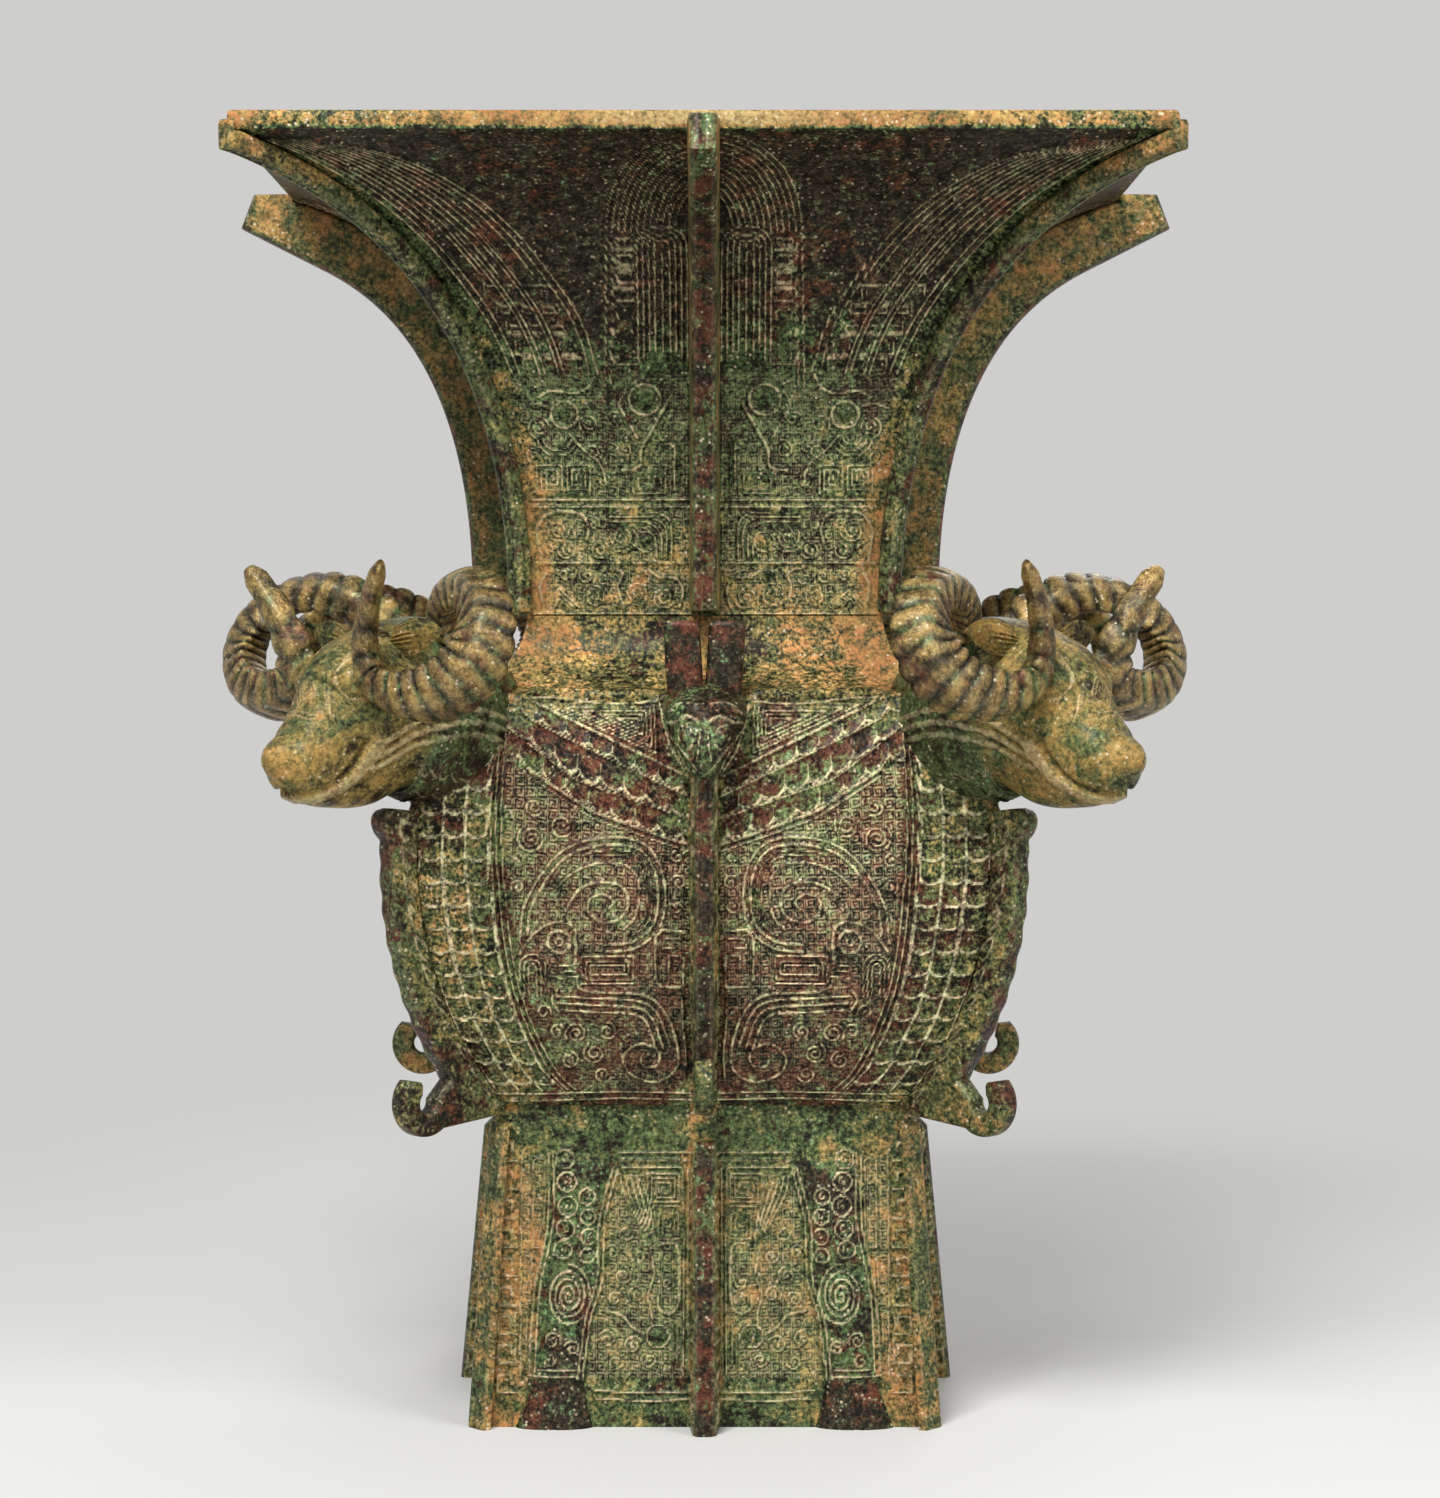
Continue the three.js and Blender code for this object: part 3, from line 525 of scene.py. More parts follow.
def draw_neck():
    """Two rows of dragons, animal faces over them, and the tall leaves above."""
    panel = Relief(0, 0, RIM_HALF, NECK_LENGTH)
    x, y = panel.grid()
    side = half_at(NECK_LEVEL + y)
    panel.ground = np.where((x > 8) & (x < side - 9) & (y > 2) & (y < 112), 1.0, 0.0)
    # Lower row of dragons
    panel.lines([[(6, py), (79, py)] for py in (1.2, 24.4, 50.2, 53.4)], wide=1.5)
    panel.lines([[(74.5 - d, 4), (67.5, 13 - d), (58 + d, 4)] for d in (0, 2.4, 4.8)])
    panel.spirals(
        [
            (64.6, 19.6, 3.0, 200, 1),
            (54.7, 18.5, 3.4, 20, -1),
            (46.5, 17.5, 3.4, 180, 1),
            (51.0, 9.0, 5.0, 90, 1),
            (31.7, 10.4, 6.2, 10, -1),
            (19.0, 8.6, 5.4, 200, 1),
            (40.6, 7.2, 3.6, 120, 1),
        ]
    )
    panel.line(smooth([(73, 20), (76, 14), (75, 6)]), wide=1.8)
    panel.line(smooth([(44, 22), (38, 20), (40, 13), (37, 4)]), wide=1.6)
    panel.line(smooth([(26, 21.5), (21, 18), (13, 17), (10, 11), (12, 4)]), wide=1.6)
    panel.boss(30, 19, 2.8, 1.3)
    # Upper row of dragons
    panel.line(smooth([(75.5, 26), (77, 40), (71, 47.6), (58, 47.4), (53.6, 41), (55, 33)]), wide=1.8)
    panel.spirals(
        [
            (67.9, 39.4, 5.4, 180, 1),
            (63.4, 30.6, 4.6, 20, -1),
            (38.3, 36.6, 7.6, -20, -1),
            (48.6, 30.6, 4.4, 200, 1),
            (51.0, 42.6, 3.0, 90, 1),
            (72.4, 30.6, 3.2, 20, 1),
        ]
    )
    for d in (0, 2.3, 4.6, 6.9):
        panel.line(smooth([(44, 48 - d), (30, 48 - d), (20 + d, 47 - d), (15.6 + d, 42 - d), (15.4 + d, 27)]))
    panel.boss(27.4, 34.4, 3.2, 1.4)
    panel.line(ring(27.4, 34.4, 4.6), moat=0.3)
    # Animal faces
    panel.line(smooth([(84, 96), (78, 98), (72, 97)]), wide=1.8)
    panel.line(ring(64.2, 93, 6.2), wide=1.8)
    panel.boss(64.2, 93, 3.2, 1.6)
    panel.spirals(
        [
            (75.6, 87.4, 5.8, 250, 1),
            (51.2, 75.6, 4.4, 200, 1),
            (36.4, 77, 4.4, 120, -1),
            (53.0, 88.6, 4.6, -60, 1),
            (40.4, 91.4, 4.2, -80, 1),
            (78.2, 73.6, 4.0, 90, -1),
            (46.4, 62.4, 3.8, 20, 1),
        ]
    )
    for radius in (9.2, 6.7, 4.2):
        angle = np.radians(np.linspace(190, 350, 16))
        panel.line(np.column_stack((67.6 + radius * np.cos(angle), 83 + radius * np.sin(angle))))
    panel.line(smooth([(76, 101), (70, 104), (60, 103), (53, 106), (49, 114)]), wide=1.8)
    panel.line(smooth([(62, 84), (56, 77), (48, 70), (45, 60)]), wide=1.6)
    panel.line(square_spiral(71.4, 62.6, 5.8, 6.6))
    panel.line(square_spiral(58, 62.6, 5.2, 6.6, hand=-1))
    panel.boss(27.4, 100, 4.4, 1.8)
    panel.line(ring(27.4, 100, 7.2), wide=1.8)
    panel.line(smooth([(17.4, 98), (24, 86), (29, 77), (30, 69), (38, 67)]), wide=1.8)
    panel.line(smooth([(36, 104), (39, 98), (34, 88), (31, 82)]), wide=1.6)
    panel.lines([[(21 - d, 82 - d), (12 + 0.4 * d, 79), (12 + 0.4 * d, 58)] for d in (0, 2.4, 4.8)])
    panel.line(square_spiral(25.4, 61.4, 7.4, 4.6))
    inner = smooth([(45.5, 106), (45.2, 117), (44.6, 140), (43.5, 178)])
    panel.lines([inner, beside(inner, -2.6)], wide=1.4)
    # The middle leaf: a tall arch of close lines up to the rim
    rise = np.linspace(0, math.pi / 2, 30)
    bow = np.column_stack((np.cos(rise), np.sin(rise)))
    for i in range(12):
        wide = 43.5 - 2.75 * i
        tall = 74 - 3.9 * i
        foot = 178 - (0 if i < 2 else 3 + 6 * (i % 3))
        over = np.array((0, 178)) + bow * np.array((wide, tall))
        panel.line(np.vstack(((wide, foot), over[over[:, 0] > 6.2])), wide=1.5)
    for py in np.arange(121, 178, 9.4):
        panel.line(square_spiral(35.8, py, 5.4, 4.2, 2.0), wide=1.2, moat=0.5)
    for half in (11.2, 8.6, 6.0, 3.4):
        panel.line(arch(18.8, 118 + 4 * (half < 8), 178 + half - 3, half), wide=1.4)
    panel.line([(18.8, 122), (18.8, 172)], wide=1.4)
    # The corner leaf: close lines that sweep along it to the corner of the rim
    levels = np.array((482, 495, 509, 524, 541, 556, 567, 572.5))
    halves = half_at(levels)
    near = np.array((0.49, 0.495, 0.515, 0.56, 0.605, 0.66, 0.74, 0.86)) * halves
    far = np.array((0.88, 0.885, 0.895, 0.91, 0.925, 0.94, 0.955, 0.97)) * halves
    rows = up_neck(levels)
    for i in range(12):
        share = i / 11
        first = 0 if i in (0, 1, 10, 11) else 3 + (i % 2)
        panel.line(smooth(np.column_stack((near + (far - near) * share, rows))[first:]), wide=1.5)
    for share in (0.28, 0.5, 0.72):
        for i, py in enumerate(np.arange(116, 158, 8.8)):
            px = np.interp(py, rows, near + (far - near) * share)
            hand = 1 if i % 2 else -1
            panel.line(square_spiral(px, py, 4.6, 3.6, 2.0, hand), wide=1.2, moat=0.5)
    for share in (0.39, 0.61):
        sweep = np.column_stack((near + (far - near) * share, rows))[:5]
        panel.lines([smooth(sweep), smooth(sweep + (2.4, 0))], wide=1.3)
    under_lip = panel.y > NECK_LENGTH - 1.5
    panel.height[under_lip] = 0
    panel.mark[under_lip] = 0
    return panel


def draw_belly(scale_length):
    """Scales on the rams' chests and along the swag, and a large bird between them."""
    panel = Relief(0, BELLY_LEVEL, 133, SHOULDER_LEVEL + SHOULDER_LENGTH)
    x, y = panel.grid()
    edge = np.array(PANEL_EDGE, float)[::-1]
    beyond = x - np.interp(y, edge[:, 1], edge[:, 0])
    swag = [
        np.interp(panel.x, (7.5, 12, 71, 84), (299.5, 301.5, 330, 337)),
        np.interp(panel.x, (7.5, 65, 84), (290.5, 318, 328)),
        np.interp(panel.x, (7.5, 57.5, 84), (280.5, 298, 318)),
        np.interp(panel.x, (7.5, 21, 50, 84), (269, 273.5, 284, 306)),
    ]
    panel.ground = np.where((x > 7) & (beyond < -2) & (y > 156) & (y < swag[3][None, :] - 2), 1.0, 0.0)
    # The bird: a large comma with an oval whorl, an eye and a brow
    comma = [(82.6, 225), (79.6, 244), (65, 265), (47, 272), (28, 270), (18.5, 256)]
    comma = smooth(comma + [(19, 234), (30, 223), (44, 221)])
    panel.lines([comma, beside(comma, -3.2)], wide=1.7)
    panel.lines([beside(comma[20:58], -5.8), beside(comma[24:54], -8.2)], wide=1.1)
    whorl = [(68, 247), (60, 256), (47, 261), (35.5, 260), (29.5, 253), (30.5, 238), (36, 231)]
    panel.line(smooth(whorl), wide=1.7)
    whorl = [(62, 240), (56, 249), (47, 252.5), (37, 250.5), (34, 243), (38, 236), (46, 234.5), (52, 239)]
    panel.line(smooth(whorl), wide=1.8)
    panel.line(smooth([(52, 239), (51, 245), (45, 247), (40.5, 243.6), (43, 240)]), wide=1.6)
    panel.line(ring(65, 225.7, 5.0), wide=2.0)
    panel.line(ring(65, 225.7, 1.6), wide=1.6, moat=0.2)
    stroke = [(82.6, 220.5), (75, 230.6), (66, 234.5), (58, 231), (57.5, 209), (52, 203)]
    stroke += [(28, 201), (18, 193), (12.6, 178), (13, 165.5), (23, 159.5), (34, 163.5)]
    stroke += [(37, 172), (29, 178), (20.6, 174), (22, 167.5), (28, 167.4), (29, 171.4)]
    panel.line(smooth(stroke), wide=1.8)
    band = smooth([(66, 204), (58, 203.5), (52, 203), (28, 201), (18, 193), (12.6, 178)])
    panel.lines([beside(band, -gap) for gap in (3.2, 6.4, 9.6)], wide=1.6)
    panel.line(smooth([(66, 204), (68.6, 199), (65.4, 193.6)]), wide=1.6)
    panel.lines([arch(77, 200.5, 220 - 2.2 * i, 5.8 - 2.0 * i) for i in range(3)])
    panel.line(square_spiral(43.5, 212.6, 11.6, 6.2, 2.0))
    panel.lines([[(56, py), (65, py - 1)] for py in (215.6, 212.8, 210)], wide=1.2)
    hook = [(8.4, 229.6), (19, 231), (22, 227), (22, 207.6), (19.5, 204.6)]
    hook += [(9.6, 204.4), (9.2, 218.6), (16, 219), (16, 212)]
    panel.line(hook, wide=1.7)
    panel.line([(10.8, 226.4), (18, 227), (18.8, 222.4), (12.6, 222.2)], wide=1.3)
    panel.spirals(
        [
            (77, 272, 6.4, 40, -1),
            (63.5, 277.6, 5.6, 150, 1),
            (76, 286, 4.4, 200, 1),
            (83.4, 262, 3.4, 90, 1),
            (83, 250.6, 3.6, -60, 1),
            (44, 184, 4.4, 90, 1),
            (50, 173.6, 5.2, 60, -1),
            (58, 183.2, 5.2, -30, 1),
            (66.6, 184.4, 3.4, 150, -1),
            (61.4, 170.4, 4.4, 100, 1),
            (46.4, 163.4, 4.2, 200, 1),
            (72.4, 193.4, 3.6, 200, -1),
            (11.6, 252, 3.6, 20, 1),
            (12, 263.4, 3.6, 160, -1),
            (12.4, 241.4, 3.4, 20, -1),
        ],
        wide=1.5,
    )
    panel.line(smooth([(10, 200), (9.6, 186), (8.6, 172), (9.2, 160)]), wide=1.4)
    # Borders of the panel
    border = smooth(PANEL_EDGE)
    panel.lines([beside(border, -gap) for gap in (0, 2.5, 5.0)], wide=1.3, moat=0.4)
    for py in (150.4, 153.8):
        panel.line(smooth([(6, py), (40, py + 0.8), (80, py - 0.4), (108, py)]), wide=1.4)
    # Three columns of scales on the chest
    wide = np.maximum(corner_at(np.minimum(y, SHOULDER_LEVEL)) - 5.2 - (x - beyond) - 6.2, 1)
    share = 3 * (beyond - 6.2) / wide
    inside = (share > 0) & (share < 3) & (y > 155) & (y < 333)
    panel.scales(inside, share, (y - BELLY_LEVEL) / scale_length, 0.27)
    between = np.clip(1 - np.abs(share - np.round(share)) * wide / 3 / 0.9, 0, 1) * inside
    panel.height = np.maximum(panel.height, 1.1 * np.sqrt(between))
    panel.mark = np.maximum(panel.mark, np.clip(2.4 * between, 0, 1.6))
    # The swag of scales below the shoulder
    for i in range(3):
        deep = (y - swag[i + 1][None, :]) / (swag[i] - swag[i + 1])[None, :]
        share = x / 10.3 + 0.5 * (i % 2)
        inside = (deep > 0) & (deep < 1) & (x > 7) & (beyond < -1)
        panel.scales(inside, share, deep, 0.3)
        walls = ramp(np.abs(np.mod(share, 1) - 0.5), 0.43, 0.48) * (deep < 0.75) * inside
        panel.height = np.maximum(panel.height, 0.8 * walls)
        panel.mark = np.maximum(panel.mark, 0.8 * walls)
    within = (panel.x > 7) & (panel.x < 85)
    cords = [(swag[0], 1.8), (swag[1], 1.2), (swag[2], 1.2), (swag[3], 1.9), (swag[3] - 3, 1.3)]
    for level, thick in cords:
        cord = np.column_stack((panel.x, level))[within]
        panel.line(smooth(cord[::20], 4), wide=thick, moat=0.4)
    # Nested lines in the field between the swag and the shoulder
    field = np.array([(70, 331.5), (22.5, 331.5), (21.5, 309.5), (70, 331.5)], float)
    heart = np.array((31.5, 323.4))
    panel.lines([heart + (field - heart) * k for k in (1, 0.8, 0.6, 0.4, 0.2)], wide=1.2)
    panel.lines([smooth([(21 - d, 335), (15.5 - d, 314), (8 - 0.5 * d, 301)]) for d in (0, 3)], wide=1.7)
    # The dragon's body, a rounded roll along the edge of the shoulder
    middle = SHOULDER_LEVEL + 2.5 + 1.6 * np.sin(x / 11 + 1.2)
    roll = 2.4 * np.exp(-(((y - middle) / 3.6) ** 4))
    roll *= ramp(x, 17, 23) * ramp(x, 84, 72)
    hatch = 0.3 * np.sin((x + 0.6 * y) * 2.0) * ramp(x, 56, 60) * (roll > 1.2)
    panel.form = np.maximum(roll, 0) + hatch
    panel.lines([np.column_stack((panel.x, middle[0] + g))[60:280:20] for g in (-5.4, 5.2)], wide=1.4)
    return panel


def leg_form(x, y):
    """How far a leg stands off the foot's face, and how near a point is to its middle, from 1 to 0."""
    level, wide, rise = np.array(LEG_RINGS, float).T
    middle = LEG_SIDE - LEG_LEAN * y
    share = (x - middle) / np.interp(y, level, wide)
    stands = np.interp(y, np.append(level, 127), np.append(rise, -1)) + 1
    form = np.clip(stands * np.sqrt(np.clip(1 - share**2, 0, 1)) - 1, 0, None)
    return form, 1 - np.abs(share)


def draw_foot():
    """The rams' legs in low relief, with a panel of small dragons between them."""
    panel = Relief(0, 0, FOOT_HALF, BELLY_LEVEL)
    x, y = panel.grid()
    leg_left = smooth([(72, 125), (72, 94), (77.6, 66), (79.4, 47), (80.4, 25.5)])
    leg_right = smooth([(40, 118), (46, 94), (47, 68), (52, 51), (54, 38), (56, 22)])
    right_at = np.interp(y, leg_right[::-1, 1], leg_right[::-1, 0])
    left_at = np.interp(y, leg_left[::-1, 1], leg_left[::-1, 0])
    panel.ground = np.where((x > 8) & (x < right_at - 2) & (y > 22) & (y < 116), 1.0, 0.0)
    panel.ground = np.where((x > left_at + 2) & (x < 84) & (y > 24) & (y < 124), 1.0, panel.ground)
    # Panel beside the middle flange
    panel.lines([[(6, py), (39.5, py)] for py in (125, 121.8, 118.6)], wide=1.4)
    panel.lines([[(px, 24), (px, 118)] for px in (7.4, 9.8)], wide=1.3)
    panel.line(square_spiral(19, 108, 7.4, 7.4, 2.1))
    panel.line(square_spiral(16.6, 91.7, 4.8, 5.6, 2.1))
    for i in range(5):
        plume = [(39 - 2.6 * i, 116 - 1.2 * i), (37 - 2.6 * i, 106), (31 - 1.7 * i, 95), (26 - 0.8 * i, 85)]
        panel.line(smooth(plume), wide=1.5)
    panel.spirals(
        [
            (36.4, 88.5, 3.6, 200, 1),
            (42.2, 80, 3.4, 20, 1),
            (30.4, 78, 3.6, 20, -1),
            (37.7, 69, 4.4, 100, 1),
            (31, 60.6, 4.2, -40, 1),
            (41.4, 58.4, 3.6, 160, -1),
            (33, 37.4, 4.4, 160, -1),
            (44.6, 40.4, 4.2, 20, 1),
            (41, 30, 3.6, 200, 1),
            (25.4, 31, 3.8, 20, -1),
            (16.8, 66, 3.0, 200, 1),
        ],
        wide=1.5,
    )
    panel.line(smooth([(21, 83), (14.6, 84), (12, 79), (12, 58), (15.6, 52), (21, 54), (21.6, 60)]), wide=1.8)
    panel.line(smooth([(25, 82), (23.4, 70), (26, 60), (24, 50), (26, 44)]), wide=1.5)
    panel.line(smooth([(46, 53), (38, 51), (33.6, 46), (27, 42)]), wide=1.8)
    panel.boss(21.6, 41.5, 3.8, 1.4)
    panel.line(ring(21.6, 41.5, 5.2), wide=1.4)
    panel.lines([[(px, 29), (px, 47)] for px in (12.4, 14.8)], wide=1.3)
    panel.lines([smooth([(6, py), (28, py - 0.8), (50, py + 0.4)]) for py in (16.4, 12.8)], wide=1.5)
    # Strip between the leg and the corner
    for low, high in ((30, 52), (56, 78), (82, 122)):
        middle = np.interp((low + high) / 2, leg_left[::-1, 1], leg_left[::-1, 0]) + 4.6
        panel.line(square_spiral(middle, (low + high) / 2, 2.6, (high - low) / 2, 2.0))
    for py in np.arange(16, 132, 13.2):
        panel.line([(86.4, py), (95, py), (95, py + 8), (88.6, py + 8), (88.6, py + 4)], wide=1.7)
    panel.lines([[(84.6, 24), (84.2, 126)]], wide=1.4)
    # The leg, with rings on the thigh and a whorl at the knee
    panel.form, share = leg_form(x, y)
    panel.form -= 0.9 * np.exp(-((share - 1) ** 2) / 0.005) * (y < 20)
    on_leg = [(64.4, 122.2, 4.2), (63.3, 112.2, 4.3), (62.8, 101.3, 4.4), (63.9, 91, 4.2), (65, 81.6, 4.0)]
    on_leg += [(54.0, 105.6, 3.6), (53.4, 96.4, 3.5), (53.2, 87.4, 3.5), (53.7, 78.8, 3.3)]
    for px, py, radius in on_leg:
        panel.line(ring(px, py, radius), wide=1.5)
        panel.line(spiral(px, py, radius * 0.5, 90, 1, 1.9), wide=1.2, moat=0.3)
    panel.line(spiral(62.3, 60.6, 10.4, 90, 1, 2.4, 1.4), wide=1.6)
    panel.spirals([(69.8, 40, 4.2, 200, -1), (60.6, 36.6, 3.8, 20, 1), (71.4, 30.6, 3.2, 90, 1)], wide=1.5)
    panel.lines([[(56, py), (81, py + 0.6)] for py in (26.4, 23.4)], wide=1.5)
    panel.lines([leg_left, beside(leg_left, 2.3), leg_right, beside(leg_right, -2.3)], wide=1.5)
    return panel


# Meshes


def turned(points, degrees):
    """Points turned about the vessel's axis."""
    c, s = math.cos(math.radians(degrees)), math.sin(math.radians(degrees))
    out = np.empty_like(points)
    out[..., 0] = c * points[..., 0] - s * points[..., 1]
    out[..., 1] = s * points[..., 0] + c * points[..., 1]
    out[..., 2] = points[..., 2]
    return out


def settle(piece, finish, *nodes):
    """Gives a finished piece its patina, hangs it under the root and hides the solids that it stands for."""
    piece.data.materials.clear()
    piece.data.materials.append(patina(finish))
    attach(piece, "root")
    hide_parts(*nodes)


def skin(name, rings, finish, node, angle=62, **marks):
    """A closed mesh over rings of points, in millimetres, with one face over each end."""
    rows, count = rings.shape[:2]
    index = np.arange(rows * count).reshape(rows, count)
    here, after = index[:-1], index[1:]
    quads = np.stack((here, np.roll(here, -1, 1), np.roll(after, -1, 1), after), -1).reshape(-1, 4)
    ends = [index[0][::-1], index[-1]]
    points = rings.reshape(-1, 3)
    a, b, c, d = (points[quads[:, i]] for i in range(4))
    volume = np.einsum("ij,ij->", a, np.cross(b, c)) + np.einsum("ij,ij->", a, np.cross(c, d))
    if volume < 0:
        quads = quads[:, ::-1]
        ends = [end[::-1] for end in ends]
    corners = np.concatenate([quads.ravel(), *ends]).astype(np.int32)
    starts = np.concatenate((np.arange(len(quads)) * 4, [len(quads) * 4, len(quads) * 4 + count]))
    mesh = bpy.data.meshes.new(name)
    mesh.vertices.add(len(points))
    mesh.vertices.foreach_set("co", (points * MM).astype(np.float32).ravel())
    mesh.loops.add(len(corners))
    mesh.loops.foreach_set("vertex_index", corners)
    mesh.polygons.add(len(quads) + 2)
    mesh.polygons.foreach_set("loop_start", starts.astype(np.int32))
    mesh.update(calc_edges=True)
    mesh.validate()
    for key, values in marks.items():
        mark = mesh.attributes.new(key, "FLOAT", "POINT")
        mark.data.foreach_set("value", np.broadcast_to(values, (rows, count)).astype(np.float32).ravel())
    piece = bpy.data.objects.new(name, mesh)
    bpy.context.scene.collection.objects.link(piece)
    bpy.ops.object.select_all(action="DESELECT")
    piece.select_set(True)
    bpy.context.view_layer.objects.active = piece
    bpy.ops.object.shade_smooth_by_angle(angle=math.radians(angle))
    settle(piece, finish, node)


def outward(points):
    """Unit directions off a wall, for a line that runs up it."""
    along = directions(points)
    return np.column_stack((along[:, 1], -along[:, 0]))


def raised_wall(out, across, up, rise, normals):
    """Points of a wall whose ornament rises off it."""
    return np.stack((out + rise * normals[:, :1], across, up + rise * normals[:, 1:]), -1)


def plain_wall(half, level):
    """Points along the two sides of a bare wall, from its half width at each level."""
    return np.stack([np.column_stack((half, side * half, level)) for side in (-1, 1)], 1)


def wall(name, finish, node, outside, inside, **marks):
    """One wall of the vessel on each of its four faces. The inside has no marks but its dust."""
    back = inside.shape[1]
    rings = np.concatenate((outside, inside[:, ::-1]), 1)
    padded = {key: np.pad(values, ((0, 0), (0, back))) for key, values in marks.items()}
    padded["dust"][:, -back:] = INSIDE_DUST
    for side, degrees in FACES.items():
        skin(f"{name}_{side}", turned(rings, degrees), finish, node, **padded)


# Patina


class Shade:
    """One value in a shader. Sums of values add their own Math nodes."""

    def __init__(self, tree, socket=None):
        self.tree = tree
        self.socket = socket

    def node(self, kind, inputs, output=0, **settings):
        """Any node, with its settings, then its inputs by name or number."""
        made = self.tree.nodes.new(kind)
        for key, value in settings.items():
            setattr(made, key, value)
        for key, value in inputs.items():
            if isinstance(value, Shade):
                self.tree.links.new(value.socket, made.inputs[key])
            elif value is not None:
                made.inputs[key].default_value = value
        return Shade(self.tree, None if output is None else made.outputs[output])

    def mark(self, name):
        """A value that the mesh carries at its points."""
        return self.node("ShaderNodeAttribute", {}, 2, attribute_name=name)

    def maths(self, operation, first, second=None):
        return self.node("ShaderNodeMath", {0: first, 1: second}, operation=operation)

    def __add__(self, other):
        return self.maths("ADD", self, other)

    def __radd__(self, other):
        return self.maths("ADD", other, self)

    def __sub__(self, other):
        return self.maths("SUBTRACT", self, other)

    def __rsub__(self, other):
        return self.maths("SUBTRACT", other, self)

    def __mul__(self, other):
        return self.maths("MULTIPLY", self, other)

    def __rmul__(self, other):
        return self.maths("MULTIPLY", other, self)

    def __abs__(self):
        return self.maths("ABSOLUTE", self)

    def part(self):
        """What is left over whole numbers."""
        return self.maths("FRACT", self)

    def over(self, other):
        """The larger of two values."""
        return self.maths("MAXIMUM", self, other)

    def between(self, low, high):
        """0 below low, 1 above high, and a soft step between."""
        inputs = {"Value": self, "From Min": low, "From Max": high}
        return self.node("ShaderNodeMapRange", inputs, interpolation_type="SMOOTHSTEP")

    def mix(self, first, second):
        """From the first colour to the second by this value."""
        inputs = {0: self, 6: first, 7: second}
        return self.node("ShaderNodeMix", inputs, 2, data_type="RGBA", clamp_factor=True)


def blank_material(name):
    """A material with an empty shader, and what adds nodes to it."""
    material = bpy.data.materials.new(name)
    material.use_nodes = True
    material.node_tree.nodes.clear()
    return material, Shade(material.node_tree)


def rgba(colour, level=1.0):
    return (*(level * c for c in colour), 1.0)


def thunder_lines(make, pitch=5.0, turns=1.5):
    """Small square spirals over a wall, from its marks of millimetres across and up."""
    ground = make.mark("ground")
    u = (make.mark("across") * (1 / pitch)).part() - 0.5
    v = (make.mark("up") * (1 / pitch)).part() - 0.5
    reach = abs(u).over(abs(v)) * 2
    turn = make.maths("ARCTAN2", v, u) * (0.5 / math.pi)
    wave = abs((reach * turns + turn + 1).part() - 0.5) * 2
    return (1 - wave.between(0.4, 0.68)) * ground


